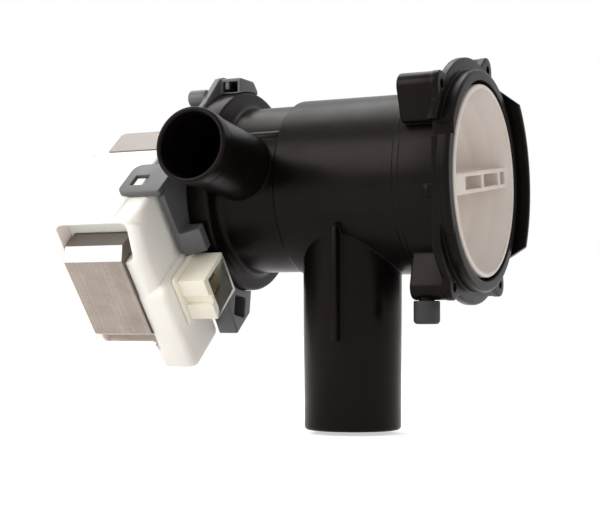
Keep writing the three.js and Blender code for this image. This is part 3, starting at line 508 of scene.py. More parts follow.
carbon = surface("bearingCarbon", moulded, {
    "Colour": (0.02, 0.02, 0.021, 1),
    "Cloud Colour": (0.035, 0.035, 0.036, 1),
    "Edge Highlight Colour": (0.1, 0.1, 0.1, 1),
    "Cloud Scale": 400,
    "Roughness Low": 0.4, "Roughness High": 0.6,
})
ferrite = surface("ferrite", moulded, {
    "Colour": (0.03, 0.03, 0.033, 1),
    "Cloud Colour": (0.05, 0.05, 0.053, 1),
    "Edge Highlight Colour": (0.12, 0.12, 0.12, 1),
    "Cloud Scale": 500,
    "Roughness Low": 0.5, "Roughness High": 0.7,
    "Grain Scale": 1500, "Grain Height": 0.3,
}, {"Metallic": 0.2})
shaftSteel = surface("shaftSteel", drawn, {
    "Colour": (0.62, 0.62, 0.63, 1),
    "Dull Colour": (0.5, 0.5, 0.51, 1),
    "Stretch": (0.1, 1, 1),
}, {"Metallic": 1.0})
tabMetal = surface("tabMetal", drawn, {
    "Colour": (0.70, 0.62, 0.45, 1),
    "Dull Colour": (0.5, 0.43, 0.3, 1),
    "Stretch": (0.1, 1, 1),
}, {"Metallic": 1.0})
copperWire = surface("copperWire", drawn, {
    "Colour": (0.55, 0.2, 0.08, 1),
    "Dull Colour": (0.42, 0.14, 0.05, 1),
    "Stretch": (1, 0.2, 1),
}, {"Metallic": 0.8})
print("stage: materials made")


steel = {
    "sheetsPerMetre": 2000,
    "sparkleScale": 4200,
    "stainScale": 120,
    "colour": (0.34, 0.29, 0.255, 1),
    "stain": (0.27, 0.225, 0.195, 1),
    "glint": (0.45, 0.395, 0.355, 1),
    "darkSheet": (0.2, 0.17, 0.15, 1),
    "joint": (0.09, 0.075, 0.065, 1),
    # The two chamfer colours are a painted highlight on the chamfer as a lit face.
    "chamfer": (0.5, 0.505, 0.51, 1),
    "chamferJoint": (0.24, 0.24, 0.245, 1),
    # The top face colour is painted shade on the faces above the chamfer.
    "topFaceShade": (0.24, 0.215, 0.195, 1),
    "metallic": 0.75,
}


# Sheets of steel stacked along X, seen on edge, with fine sparkle. The chamfer towards the outlet
# is painted bright as a lit face, and the faces above it are painted darker as shade.
def makeLaminated():
    s = steel
    material = bpy.data.materials.new("laminatedSteel")
    tree = emptyTree(material)
    where = put(tree, "ShaderNodeTexCoord").outputs["Object"]
    along = put(tree, "ShaderNodeSeparateXYZ", {"Vector": where}).outputs["X"]
    sheet = calculated(tree, "MULTIPLY", along, s["sheetsPerMetre"])
    joint = span(tree, calculated(tree, "PINGPONG", sheet, 0.5), 0.0, 0.16, 1, 0)
    whole = calculated(tree, "ROUND", sheet)
    white = put(tree, "ShaderNodeTexWhiteNoise", {"W": whole}, noise_dimensions="1D")
    shade = white.outputs["Value"]
    sparkle = noise(tree, where, {"Scale": s["sparkleScale"], "Detail": 3})
    stain = noise(tree, where, {"Scale": s["stainScale"], "Detail": 4})
    base = blend(tree, span(tree, stain, 0.4, 0.65, 0, 1), s["colour"], s["stain"])
    bright = blend(tree, span(tree, sparkle, 0.52, 0.7, 0, 1), base, s["glint"])
    toned = blend(tree, span(tree, shade, 0, 1, 0, 0.35), bright, s["darkSheet"])
    face = blend(tree, span(tree, joint, 0, 1, 0, 0.5), toned, s["joint"])
    across = Matrix.Rotation(math.radians(motorAngle), 3, "X")
    normal = put(tree, "ShaderNodeNewGeometry").outputs["True Normal"]

    def facing(direction):
        turnedTo = across @ Vector(direction).normalized()
        return span(tree, likeness(tree, normal, turnedTo), 0.95, 0.99, 0, 1)

    # Painted light: faces turned like the chamfer get the bright chamfer colour.
    paintedLitChamfer = blend(tree, span(tree, joint, 0, 1, 0, 0.6), s["chamfer"], s["chamferJoint"])
    lit = blend(tree, facing((0, 1, -1)), face, paintedLitChamfer)
    # Painted shade: faces turned up get the dark top face colour.
    colour = blend(tree, facing((0, 0, -1)), lit, s["topFaceShade"])
    depth = calculated(tree, "SUBTRACT", sparkle, joint)
    principled = put(tree, "ShaderNodeBsdfPrincipled", {
        "Base Color": colour,
        "Roughness": span(tree, sparkle, 0.3, 0.7, 0.5, 0.36),
        "Normal": bumped(tree, 0.35, 0.00006, depth, roundedNormal(tree, 4, 0.0002)),
        "Metallic": s["metallic"]})
    put(tree, "ShaderNodeOutputMaterial", {"Surface": principled.outputs[0]})
    return material


laminatedSteel = makeLaminated()

# Stations along the barrel, shared by the pieces

line = {
    "collarEnd": -14, "beadEnd": -16.2, "barrelEnd": -56.2,
    "chamberEnd": -76.6, "shelfEnd": -79.8, "discEnd": -84,
    "plateFront": -84.2, "plateEnd": -86.2,
    "stackFront": -95.0, "stackEnd": -115.9,
}

# Pump housing: one black moulding

housingSize = {
    "flangeThick": 2.6, "flangeRadius": 38.5, "flangeTrim": 31.3,
    "trimTop": 15.3, "trimBottom": 24, "flangeEdge": 0.5,
    "ringProud": 3.9, "ringRadius": 34.6, "ringEdge": 0.8,
    "padProud": 0.7, "padTop": 11, "padFoot": -18, "padBack": 1.6, "padInner": 30,
    "notchFloor": 0.9, "collarRadius": 30.2,
    "stepEdge": 0.35, "stepRoot": 0.2, "beadRadius": 29.4,
    "barrelRadius": 28.6, "shoulder": 1.9, "mouthRadius": 31.7,
    "seatRadius": 31.1, "seatEnd": -1.4,
    "skirtBore": 27.1, "skirtEnd": -15.2, "barrelBore": 26.3,
    "chamberRadius": 27.2, "chamberEdge": 2.4, "chamberBore": 24.6,
    "eyeRadius": 11, "eyeWall": 2.2,
    "discRadius": 33, "discRoot": 0.9, "discEdge": 0.4, "pocketWall": 2.4,
}
pegSize = [-5.3, 0.6, -31.4, -29, -7, -3.4]  # limits in x, y and z
toothSize = {"angle": 88, "back": -82.7, "front": -80.3, "half": 1.7, "drop": 2.4, "rise": 4}
nozzleSize = {"x": -8.9, "radius": 2.4, "length": 5.4, "root": 3.9}
lugs = [  # angle, distance of the screw hole, drop of the boss's foot
    (138, 39.2, 8.5),
    (68, 40.2, 9.5),
    (241, 38.1, 9.5),
    (311, 41.4, 9.5),
]
lugSize = {
    "endRadius": 4.1, "rootRadius": 11, "rootCircle": 27, "hole": 3,
    "bossRadius": 3.9, "bossLength": 10.6, "bossTaper": 1.0,
    "footRadius": 2.4, "footTaper": 0.1,
    "edge": 0.9, "holeEnd": -12.2,
    # shares of the hole's distance from the axis
    "footShift": 0.94, "innerShift": 0.72, "webShift": 0.661,
}
shieldSize = {
    "inner": 37.2, "wall": 2, "proud": 7, "baseTop": 33, "baseBottom": 24,
    "edgeTop": 26.6, "edgeBottom": 18.2, "corner": 2, "lip": 0.6,
    "innerLap": 0.8, "outerLap": 0.5,
}
inletSize = {
    "x": -37.7, "y": -7.8, "radius": 15.7, "mouth": 15.2, "wall": 2.2,
    "reach": 77.5, "lip": 1.2,
    "ribThick": 1.7, "ribReach": 3.2, "ribFoot": 49.6, "ribOffset": 0.8, "ribEdge": 0.3,
}
outletSize = {
    "x": -68.3, "radius": 11.65, "root": 10.7, "wall": 1.7, "reach": 59,
    "rise": 2.45, "tilt": 6, "lip": 0.82, "wallDepth": 3, "boreStart": 12.3,
    "beadHeight": 0.35, "beadStart": 6.2, "beadFull": 5.2,
    "blockTop": 16.4, "blockBottom": 9, "blockReach": 23.4, "blockCorner": 1.6,
    "blockEdge": 0.8, "slopeLap": 1.6,
}


def barrelOuter():
    s = housingSize
    half, proud = -s["flangeThick"] / 2, s["ringProud"]
    return turned(filleted([
        (proud, 0), (proud, s["ringRadius"], s["ringEdge"]),
        (half, s["ringRadius"]), (half, s["collarRadius"]),
        (line["collarEnd"], s["collarRadius"], s["stepEdge"]),
        (line["collarEnd"], s["beadRadius"], s["stepRoot"]),
        (line["beadEnd"], s["beadRadius"], s["stepEdge"]),
        (line["beadEnd"], s["barrelRadius"], s["stepRoot"]),
        (line["barrelEnd"], s["barrelRadius"], s["shoulder"]),
        (line["barrelEnd"], s["chamberRadius"]),
        (line["chamberEnd"], s["chamberRadius"], s["chamberEdge"]),
        (line["chamberEnd"], s["discRadius"], s["discRoot"]),
        (line["discEnd"], s["discRadius"], s["discEdge"]), (line["discEnd"], 0),
    ]))


def barrelHollow():
    s = housingSize
    proud, seat, skirt = s["ringProud"], s["seatEnd"], s["skirtEnd"]
    end, shelf, back = line["barrelEnd"], line["shelfEnd"], line["discEnd"] - cutOver
    eyeBack, pocket = end - s["eyeWall"], s["discRadius"] - s["pocketWall"]
    return turned([
        (proud + cutOver, 0), (proud + cutOver, s["mouthRadius"]),
        (proud - 0.5, s["seatRadius"]), (seat, s["seatRadius"]),
        (seat, s["skirtBore"]), (skirt, s["skirtBore"]),
        (skirt - 0.8, s["barrelBore"]), (end, s["barrelBore"]),
        (end, s["eyeRadius"]), (eyeBack, s["eyeRadius"]),
        (eyeBack, s["chamberBore"]), (shelf, s["chamberBore"]),
        (shelf, pocket), (back, pocket), (back, 0)])


# A boss behind its screw hole: a wall down to the foot, a web to the barrel and the foot's own web.
def bossPiece(y, z, drop):
    s = lugSize
    start = -housingSize["flangeThick"] - s["bossLength"]
    end = -housingSize["flangeThick"] / 2
    low = z - drop if z > 0 else z + drop
    full, thin = s["bossRadius"], s["footRadius"]
    footY, innerY = y * s["footShift"], y * s["innerShift"]
    foot = capsule(y, z, full, footY, low, thin)
    web = capsule(y, z, full, y * s["webShift"], z * s["webShift"], full - s["bossTaper"])
    inward = capsule(footY, low, thin, innerY, low, thin - s["footTaper"])
    return joined(*[prism(outline, start, end, s["edge"]) for outline in (foot, web, inward)])


def flangePiece():
    s = housingSize
    plate = prism(disc(s["flangeRadius"]), -s["flangeThick"], 0, s["flangeEdge"])
    for angle, distance, drop in lugs:
        y, z = radial(distance, angle)
        rootY, rootZ = radial(lugSize["rootCircle"], angle)
        ear = capsule(rootY, rootZ, lugSize["rootRadius"], y, z, lugSize["endRadius"])
        joined(plate, prism(ear, -s["flangeThick"], 0, s["flangeEdge"]), bossPiece(y, z, drop))
    return plate


def shieldPiece():
    s = shieldSize
    back, front, inner, lip = -housingSize["flangeThick"], s["proud"], s["inner"], s["lip"]
    outer = inner + s["wall"]
    wall = turned(filleted([
        (back, inner), (back, outer), (front, outer, lip), (front, inner, lip)]) + [(back, inner)])
    foot = ring(housingSize["ringRadius"] - s["innerLap"], inner + s["outerLap"], back, 0)
    side = filleted([
        (back - cutOver, -s["baseBottom"]), (0, -s["baseBottom"], s["corner"]),
        (front + cutOver, -s["edgeBottom"]), (front + cutOver, s["edgeTop"]),
        (0, s["baseTop"], s["corner"]), (back - cutOver, s["baseTop"])])
    return common(joined(wall, foot), prism(side, 0, outer + cutOver, axis="Y"))


def inletPiece():
    s = inletSize
    half = -housingSize["barrelRadius"] / 2
    pipe = upright(filleted([
        (0, -s["reach"]), (s["mouth"], -s["reach"], s["lip"]), (s["radius"], half),
        (s["radius"], 0), (0, 0),
    ]), s["x"], s["y"])
    start = s["x"] + s["ribOffset"]
    edge = s["y"] - s["radius"] - s["ribReach"]
    end = start + s["ribThick"]
    rib = block(start, end, edge, s["y"], -s["ribFoot"], 0, s["ribEdge"])
    hug = ring(0, housingSize["barrelRadius"], line["beadEnd"], line["barrelEnd"])
    band = block(start, end, edge, s["y"], -s["ribFoot"], half, s["ribEdge"])
    return joined(pipe, common(rib, hug), band)


def inletHollow():
    s = inletSize
    low, half = -s["reach"] - cutOver, -housingSize["barrelBore"] / 2
    narrow, wide = s["mouth"] - s["wall"], s["radius"] - s["wall"]
    return upright([
        (0, low), (narrow, low), (wide, half - cutOver), (wide, half), (0, half)], s["x"], s["y"])


# A lathe about the outlet's own tilted axis.
def aboutOutlet(profile):
    s = outletSize
    piece = turned([(station, r) for r, station in profile])
    heading = Matrix.Rotation(math.radians(-90), 4, "Z")
    tilt = Matrix.Rotation(math.radians(-s["tilt"]), 4, "X")
    return moved(piece, Matrix.Translation((s["x"], 0, s["rise"])) @ tilt @ heading)


def outletPiece():
    s = outletSize
    root, radius, reach, lip = s["root"], s["radius"], s["reach"], s["lip"]
    inner, inside = radius - s["wall"], reach - s["wallDepth"]
    pipe = aboutOutlet(filleted([
        (0, 0), (root, 0), (root, reach / 2, 4),
        (radius - s["beadHeight"], reach - s["beadStart"], 3), (radius, reach - s["beadFull"], 1),
        (radius, reach, lip), (inner, reach, lip), (inner, inside), (0, inside)]))
    low, high, top = s["x"] - root + s["wall"], line["barrelEnd"], s["blockTop"]
    outline = roundedBox(-s["blockReach"], -s["blockBottom"], 0, top, s["blockCorner"])
    slope = [(-s["blockReach"], 0), (0, 0), (0, top)]
    return joined(pipe, prism(outline, low, high, s["blockEdge"]),
                  prism(slope, low, high + s["slopeLap"]))


def outletHollow():
    s = outletSize
    narrow, wide = s["root"] - s["wall"], s["radius"] - s["wall"]
    start, reach = s["boreStart"], s["reach"]
    return aboutOutlet([
        (0, start), (narrow, start), (narrow, reach / 2), (wide, reach - 6),
        (wide, reach + cutOver), (0, reach + cutOver)])


def nozzlePlace():
    y, z = radial(lugs[2][1], lugs[2][0])
    return y, z - lugSize["bossRadius"]


def nozzlePiece():
    s = nozzleSize
    y, top = nozzlePlace()
    low, high = top - s["length"], top + s["root"]
    return upright([(0, low), (s["radius"], low), (s["radius"], high), (0, high)], s["x"], y)


def padPiece():
    s = housingSize
    radius = s["ringRadius"] + s["padProud"]
    room = turned(filleted([
        (0, 0), (0, radius), (s["ringProud"], radius, s["ringEdge"]), (s["ringProud"], 0)]))
    pad = block(s["padBack"], s["ringProud"], -radius - cutOver, -s["padInner"],
                s["padFoot"], s["padTop"])
    return common(pad, room)


def toothPiece():
    s = toothSize
    y, z = radial(housingSize["discRadius"], s["angle"])
    half = s["half"]
    return block(s["back"], s["front"], y - half, y + half, z - s["drop"], z + s["rise"], 0.3)


# The side of the flange that is cut flat.
def trimBlock():
    s = housingSize
    return block(-s["flangeThick"] - cutOver, 0, -s["flangeRadius"] - cutOver, -s["flangeTrim"],
                 -s["trimBottom"], s["trimTop"])


# The gap in the raised ring above the pad, down to the collar.
def notchBlock():
    s = housingSize
    back, front = -s["flangeThick"] - cutOver, s["ringProud"] + cutOver
    notch = block(
        back, front, -s["flangeRadius"] - cutOver, -s["collarRadius"], s["padTop"], s["trimTop"])
    return cut(notch, ring(0, s["collarRadius"] + s["notchFloor"], back - cutOver, front + cutOver))


def housingPiece():
    shell = joined(
        barrelOuter(), flangePiece(), shieldPiece(), inletPiece(), outletPiece(), nozzlePiece(),
        padPiece(), block(*pegSize, 0.3), toothPiece())
    cut(shell, trimBlock(), notchBlock(), barrelHollow(), inletHollow(), outletHollow())
    for angle, distance, drop in lugs:
        y, z = radial(distance, angle)
        cut(shell, post(y, z, lugSize["hole"] / 2, lugSize["holeEnd"], cutOver))
    return shell


finished(housingPiece(), "housingBody", "housing", blackPlastic, "pump_housing")

# Rubber cap on the blind nozzle

rubberSize = {
    "radius": 4, "length": 7.2, "bore": 2.6, "floor": 1.3, "gap": 0.2,
    "corner": 1.2, "lip": 0.4,
}


def rubberPiece():
    s = rubberSize
    x, radius, bore = nozzleSize["x"], s["radius"], s["bore"]
    y, top = nozzlePlace()
    bottom, high = top - s["length"], top - s["gap"]
    floor = bottom + s["floor"]
    outer = [(0, bottom), (radius, bottom, s["corner"]), (radius, high, s["lip"]), (0, high)]
    inner = [(0, floor), (bore, floor), (bore, top + cutOver), (0, top + cutOver)]
    return cut(upright(filleted(outer), x, y), upright(inner, x, y))


finished(rubberPiece(), "nozzleCap", "housing", blackRubber, "nozzle_cap")

# Filter cap with its finger bar

capSize = {
    "radius": 30, "rimWall": 1.5, "proud": 4, "rimDepth": 5.2,
    "skirtRadius": 26.8, "skirtLength": 15,
    "dishDepth": 16, "dishFloor": 15,
    "dishCurve": [(-2, 25.6, 4), (-7.4, 21.6, 5)],  # x, radius, corner
    "floorCorner": 6, "crown": 0.4, "rimEdge": 0.6, "skirtEdge": 0.4,
    "grooveRadius": 24.6, "grooveBack": -14.05, "grooveFront": -11.35,
}
handleSize = {
    "half": 29, "height": 6.6, "front": 2, "root": 1.9, "edge": 0.35,
    "plate": 1.3, "pocketDepth": 5,
    "cells": [(-14, 2.2), (4, 19.2), (21.4, 26.6)],
    "tilt": 8,
    "room": [(4, 29.2), (-2, 26), (-7.4, 22.4)],
    "footRadius": 20,
}


def capPiece():
    s = capSize
    front, radius, skirt, end = s["proud"], s["radius"], s["skirtRadius"], -s["skirtLength"]
    rimBack, floor, mouth = front - s["rimDepth"], front - s["dishDepth"], radius - s["rimWall"]
    outer = turned(filleted([
        (front, 0), (front, radius, s["rimEdge"]), (rimBack, radius), (rimBack, skirt),
        (end, skirt, s["skirtEdge"]), (end, 0)]))
    dish = turned(filleted([
        (front + cutOver, 0), (front + cutOver, mouth + 0.3), (front - s["rimEdge"], mouth, 0.5),
        *s["dishCurve"], (floor, s["dishFloor"], s["floorCorner"]), (floor - s["crown"], 0)], 8))
    groove = ring(s["grooveRadius"], skirt + cutOver, s["grooveBack"], s["grooveFront"])
    return joined(cut(outer, dish, groove), handlePiece())


# The finger bar across the dish, open at the front in three cells.
def handlePiece():
    s = handleSize
    front = capSize["proud"] - s["front"]
    back = capSize["proud"] - capSize["dishDepth"] - s["root"]
    half = s["height"] / 2
    inside = half - s["plate"]
    bar = block(back, front, -s["half"], s["half"], -half, half, s["edge"])
    for start, end in s["cells"]:
        cell = block(front - s["pocketDepth"], front + cutOver, start, end, -inside, inside, 0.3)
        cut(bar, cell)
    room = turned([(capSize["proud"], 0), *s["room"], (back, s["footRadius"]), (back, 0)])
    return common(turnedAbout(bar, s["tilt"]), room)


finished(capPiece(), "filterCap", "filter", whitePlastic, "filter_cap")

# Motor flange: plate, rotor can, latches, guide arm and clip tab

flangeSize = {
    "plateRadius": 34, "plateReach": 34.2, "plateHalf": 28.7, "plateBack": 8, "plateLip": 39.2,
    "plateCorner": 4,
    "gusset": [(0, 37.7), (-7.5, 37.7, 1), (-10.3, 36.8, 1), (-21.2, 26.3), (0, 0)],
    "spigotInner": 28.2, "spigotOuter": 30.4, "spigotFront": -82.4,
    "standRadius": 24, "standEnd": -94.8,
    "canRadius": 13.8, "canWall": 1.2, "canEnd": -122.3, "canEdge": 1.8, "canFloor": 1.4,
    "ringOuter": 33.2,
    "armThick": 3.2, "armLow": -10.8, "armHigh": -2.3, "armFront": -78.2,
    "tabThick": 2, "tabInner": 25.2, "tabOuter": 41, "tabFront": -84.2, "tabEnd": -99.6,
    "tabCorner": 3.4,
    "tabWindow": [-96.4, -91.2, 31.6, 37.2, -30, -25.7],
    "pegY": -14.9, "pegZ": 29.9, "pegRadius": 2.8, "pegLength": 6.2, "pegEdge": 0.7,
}
upperLatch = {
    "left": -9.5, "right": 3.4, "top": 37, "toe": 20, "depth": 7.2,
    "edge": 0.6, "wall": 1, "sideWall": 1.6,
    "windowBack": 0.6, "windowTop": 35.8,
    "barBack": 1.5, "barFront": 2.8, "barLeft": 0.2, "barRight": 1.4,
}
lowerLatch = {
    "angle": 262, "reach": 14.5, "halfWidth": 8, "taper": 0.97,
    "corner": 7.8, "depth": 5, "edge": 0.6, "wall": 3.4,
    "pocketHalf": 3.75, "pocketReach": 3.4, "pocketCorner": 0.85,
}


# A hook that is open towards the outlet, with a thin bar in its window.
def upperLatchPiece():
    s = upperLatch
    start, foot = line["plateFront"], flangeSize["ringOuter"]
    front = start + s["depth"]
    left, right, top = s["left"], s["right"], s["top"]
    outline = filleted([
        (left, s["toe"]), (right, s["toe"]), (right, top - 2.8, 1.5), (right - 3, top, 1.5),
        (left + 0.6, top, 0.8), (left, top - 1, 0.5)])
    lug = prism(outline, line["plateEnd"], front, s["edge"])
    room = ring(0, foot, start, front + cutOver)
    window = block(start + s["windowBack"], front - s["wall"],
                   left - cutOver, right - s["sideWall"], foot - cutOver, s["windowTop"], 0.2)
    bar = block(start + s["barBack"], start + s["barFront"],
                left + s["barLeft"], left + s["barRight"], foot + 0.1, s["windowTop"] + 0.2)
    return joined(cut(lug, room, window), bar)


def lowerLatchPiece():
    s = lowerLatch
    foot, half = flangeSize["ringOuter"], s["halfWidth"]
    front = line["plateFront"] + s["depth"]
    reach = foot + s["reach"]
    low, tip, wide = reach - s["corner"], half - s["corner"], half * s["taper"]
    outline = filleted([
        (0, -half), (low, -wide, 1), (reach, -tip, 1.5),
        (reach, tip, 1.5), (low, wide, 1), (0, half)])
    lug = prism(outline, line["plateEnd"], front, s["edge"])
    return turnedAbout(cut(lug, ring(0, foot, line["plateFront"], front + cutOver)), s["angle"])


def lowerLatchPocket():
    s = lowerLatch
    middle = flangeSize["ringOuter"] + (s["reach"] - s["wall"]) / 2
    half, reach = s["pocketHalf"], s["pocketReach"]
    outline = roundedBox(middle - reach, -half, middle + reach, half, s["pocketCorner"])
    front = line["plateFront"]
    return turnedAbout(prism(outline, front, front + s["depth"] + cutOver), s["angle"])


def armPiece():
    s = flangeSize
    inner, lip = s["ringOuter"], s["plateLip"]
    start, front = line["plateFront"], s["armFront"]
    outline = filleted([
        (start - 0.5, inner), (start - 0.5, lip), (start + 1.6, lip - 0.8, 1),
        (front, inner + s["armThick"], 0.6), (front, inner, 0.4),
    ])
    return turnedAbout(prism(outline, s["armLow"], s["armHigh"], 0.3, "Z"), motorAngle)


def tabPiece():
    s = flangeSize
    outline = filleted([
        (s["tabFront"], s["tabInner"]), (s["tabFront"], s["tabOuter"], 1),
        (s["tabEnd"], s["tabOuter"], s["tabCorner"]),
        (s["tabEnd"], s["tabInner"], s["tabCorner"]),
    ])
    tab = prism(outline, -s["plateHalf"], s["tabThick"] - s["plateHalf"], 0.35, "Z")
    return turnedAbout(tab, motorAngle)


def motorFlangePiece():
    s = flangeSize
    back, front = line["plateEnd"], line["plateFront"]
    half, lip, corner = s["plateHalf"], s["plateLip"], s["plateCorner"]
    plate = prism(disc(s["plateRadius"]), back, front, 0.3)
    low, high = -s["plateBack"], s["plateReach"]
    wide = filleted([
        (low, -half, corner), (32, -half, 2), (lip, -half + 3.4, 2), (lip, -2.8, 1.5),
        (high, -2.5, 1), (high, half, corner), (low, half, corner)])
    joined(plate, prism(filleted(s["gusset"]), back, front, 0.2),
           turnedAbout(prism(wide, back, front, 0.3), motorAngle))
    spigot = ring(s["spigotInner"], s["spigotOuter"], front - 1, s["spigotFront"])
    radius, end = s["standRadius"], s["standEnd"]
    stand = turned(filleted([(back, 0), (back, radius), (end, radius, 0.6), (end, 0)]))
    radius, end = s["canRadius"], s["canEnd"]
    can = turned(filleted([(back, 0), (back, radius), (end, radius, s["canEdge"]), (end, 0)]))
    joined(plate, spigot, stand, can, armPiece(), tabPiece())
    cut(joined(plate, upperLatchPiece(), lowerLatchPiece()), lowerLatchPocket())
    joined(plate, post(
        s["pegY"], s["pegZ"], s["pegRadius"], back - s["pegLength"], back + 0.2, s["pegEdge"]))
    bore = ring(0, radius - s["canWall"], end + s["canFloor"], front + cutOver)
    return cut(plate, bore, turnedAbout(block(*s["tabWindow"], 0.5), motorAngle))


finished(motorFlangePiece(), "motorFlange", "housing", greyPlastic, "motor_flange")

# Coil block with its terminal part, drawn in the stator's turned frame: along the barrel, away
# from it, and across. A list of six numbers holds a block's limits in that order.

blockSize = {
    "inner": 14.2, "face": 53, "end": -121.3,
    "rearFront": -95, "rearTop": 27.1, "front": -88, "top": 26.5,
    "foot": 22.6, "corner": 3, "root": 36, "overlap": -100,
    "wallTop": 25, "wallBend": 13, "wallSink": 0.4,
    "terminalFace": 56.4, "terminalFront": -85, "terminalLength": 12, "terminalTop": 2,
    "terminalFoot": 31,
    "ear": [-98.8, -89.2, 31, 39, -26.5, -23.2],
    "nub": [-96, -92.6, 32, 36.8, -27.9, -25.3],
    "cavity": [-119.2, -90.5, 37, 45.5, -21.5, 21.5],
    "legHalf": 18, "pocketDepth": 46.9,
    "pocket": [-117.1, -94.8, -23.9, 21.9],
    "relief": [-117.1, -25.1, -91.6, -12.8],
    "reliefCorner": 2.4,
}


def coilBlockPiece():
    s = blockSize
    inner, face, foot, front, corner = s["inner"], s["face"], s["foot"], s["front"], s["corner"]
    root, high = s["root"], s["terminalFace"]
    back = filleted([
        (inner, -s["rearTop"], 0.4), (face, -s["rearTop"], corner), (face, foot, corner),
        (inner, foot, corner)], 6)
    rear = prism(back, s["end"], s["rearFront"], 1.4, edgeSteps=4)
    side = filleted([
        (s["overlap"], root), (front, root), (front, face, 6), (s["overlap"], face)], 8)
    frontPart = prism(side, -s["top"], foot, 2.2, "Z", 5)
    crest = high - s["wallSink"]
    wall = prism(filleted([
        (root, -s["wallTop"]), (face - 0.4, -s["wallTop"]), (crest, -s["wallBend"], 9),
        (crest, foot, corner), (root, foot)], 8), s["overlap"], front, 4, edgeSteps=7)
    terminal = prism(filleted([
        (root, -s["terminalTop"]), (high, -s["terminalTop"], 3.5), (high, s["terminalFoot"], 4),
        (root, s["terminalFoot"], 3)], 6),
        s["terminalFront"] - s["terminalLength"], s["terminalFront"], 2.4, edgeSteps=5)
    shell = joined(rear, frontPart, wall, terminal, block(*s["ear"]))
    outside = high + cutOver
    legs = block(
        line["stackEnd"] - 0.2, line["stackFront"] + 0.2, 0, outside, -s["legHalf"], s["legHalf"])
    relief = prism(roundedBox(*s["relief"], s["reliefCorner"]), s["pocketDepth"], outside, axis="Y")
    start, end, low, top = s["pocket"]
    pocket = block(start, end, s["pocketDepth"], outside, low, top)
    cut(shell, block(*s["cavity"]), legs, relief, pocket)
    return turnedAbout(joined(shell, block(*s["nub"], 0.4)), motorAngle)


finished(coilBlockPiece(), "coilBlock", "housing", creamPlastic, "coil_block")

# Connector socket and its blades

socketSize = {
    "back": -84.8, "front": -74.3, "start": 34.7, "width": 15.2,
    "height": 15, "shift": 7, "wall": 1.4, "floor": 1.6,
    "plateThick": 1.1, "plateLip": 1.5, "keyWidth": 3.4, "keyDepth": 1.2,
}
bladeSize = {
    "start": 0.6, "end": 8.2, "half": 3.15, "halfThick": 0.4,
    "spacing": 2.5, "tipCorner": 1.2, "edge": 0.12,
}


def socketPiece():
    s = socketSize
    low, high = s["shift"] - s["height"] / 2, s["shift"] + s["height"] / 2
    start, end, lip, wall = s["start"], s["start"] + s["width"], s["plateLip"], s["wall"]
    flat = s["back"] + s["plateThick"]
    plate = prism(roundedBox(start, low - lip, end + lip, high + lip, lip), s["back"], flat, 0.3)
    body = block(s["back"], s["front"], start, end, low, high, 0.3)
    room = block(s["back"] + s["floor"], s["front"] + cutOver,
                 start + wall, end - wall - s["keyDepth"], low + wall, high - wall)
    key = block(flat, s["front"] + cutOver, end - s["keyDepth"], end + cutOver,
                s["shift"] - s["keyWidth"] / 2, s["shift"] + s["keyWidth"] / 2)
    return turnedAbout(cut(joined(plate, body), room, key), motorAngle)


def bladePiece(side):
    s = bladeSize
    middle = socketSize["start"] + (socketSize["width"] - socketSize["keyDepth"]) / 2
    z = socketSize["shift"] + side * s["spacing"]
    start, end = socketSize["back"] + s["start"], socketSize["back"] + s["end"]
    low, high = middle - s["half"], middle + s["half"]
    outline = filleted([
        (start, low), (end, low, s["tipCorner"]), (end, high, s["tipCorner"]), (start, high)])
    low, high = z - s["halfThick"], z + s["halfThick"]
    return turnedAbout(prism(outline, low, high, s["edge"], "Z"), motorAngle)


finished(socketPiece(), "connectorSocket", "housing", ivoryPlastic,
         "connector_socket")
finished(bladePiece(-1), "terminalTabUpper", "housing", tabMetal, "terminal_tab_1")
finished(bladePiece(1), "terminalTabLower", "housing", tabMetal, "terminal_tab_2")

# Laminated core

coreSize = {
    "face": 57.3, "depth": 11.5, "chamfer": 3.6,
    "legInner": 8.5, "legOuter": 17.8,
    "poleHalf": 27.3, "poleTop": 5, "poleFoot": 14, "poleCorner": 7,
    "noseBack": 9, "noseTop": 18.4, "noseFoot": 17.3,
    "gap": 2.2,  # half the space between the two poles
    "slotHalf": 7.4, "slotDepth": 1.1, "bore": 14.15,
}


def yokePiece():
    s = coreSize
    face, wide, chamfer = s["face"], s["legOuter"], s["chamfer"]
    back = face - s["depth"]
    outline = [
        (back, -wide), (face - chamfer, -wide), (face, chamfer - wide),
        (face, wide - chamfer), (face - chamfer, wide), (back, wide)]
    slot = block(line["stackEnd"] - cutOver, line["stackFront"] + cutOver, back - cutOver,
                 back + s["slotDepth"], -s["slotHalf"], s["slotHalf"])
    return turnedAbout(cut(prism(outline, line["stackEnd"], line["stackFront"]), slot), motorAngle)


def polePiece(side):
    s = coreSize
    legEnd, bore, corner = s["face"] - s["depth"] - 0.2, s["bore"], s["poleCorner"]
    start = math.degrees(math.asin(s["gap"] / bore))
    inner, outer, gap = side * s["legInner"], side * s["legOuter"], side * s["gap"]
    foot, half = s["poleFoot"], s["poleHalf"]
    outline = [(legEnd, inner), (legEnd, outer), (foot, outer), (foot, side * half)]
    outline += arc(s["poleTop"], side * (half - corner), corner, side * 90, side * 150, 8)
    outline += [
        (-s["noseBack"], side * s["noseTop"]), (-bore, side * s["noseFoot"]),
        (-bore * math.cos(math.radians(start)), gap)]
    outline += arc(0, 0, bore, side * (180 - start), side * start, 28)
    outline += [(bore + 0.7, gap), (bore + 6.3, inner)]
    return turnedAbout(prism(outline, line["stackEnd"], line["stackFront"]), motorAngle)


finished(yokePiece(), "statorYoke", "housing", laminatedSteel, "stator_yoke")
for side, part in ((-1, "Upper"), (1, "Lower")):
    finished(polePiece(side), "statorPole" + part, "housing", laminatedSteel,
             "stator_pole_" + part.lower())
print("stage: pieces made")

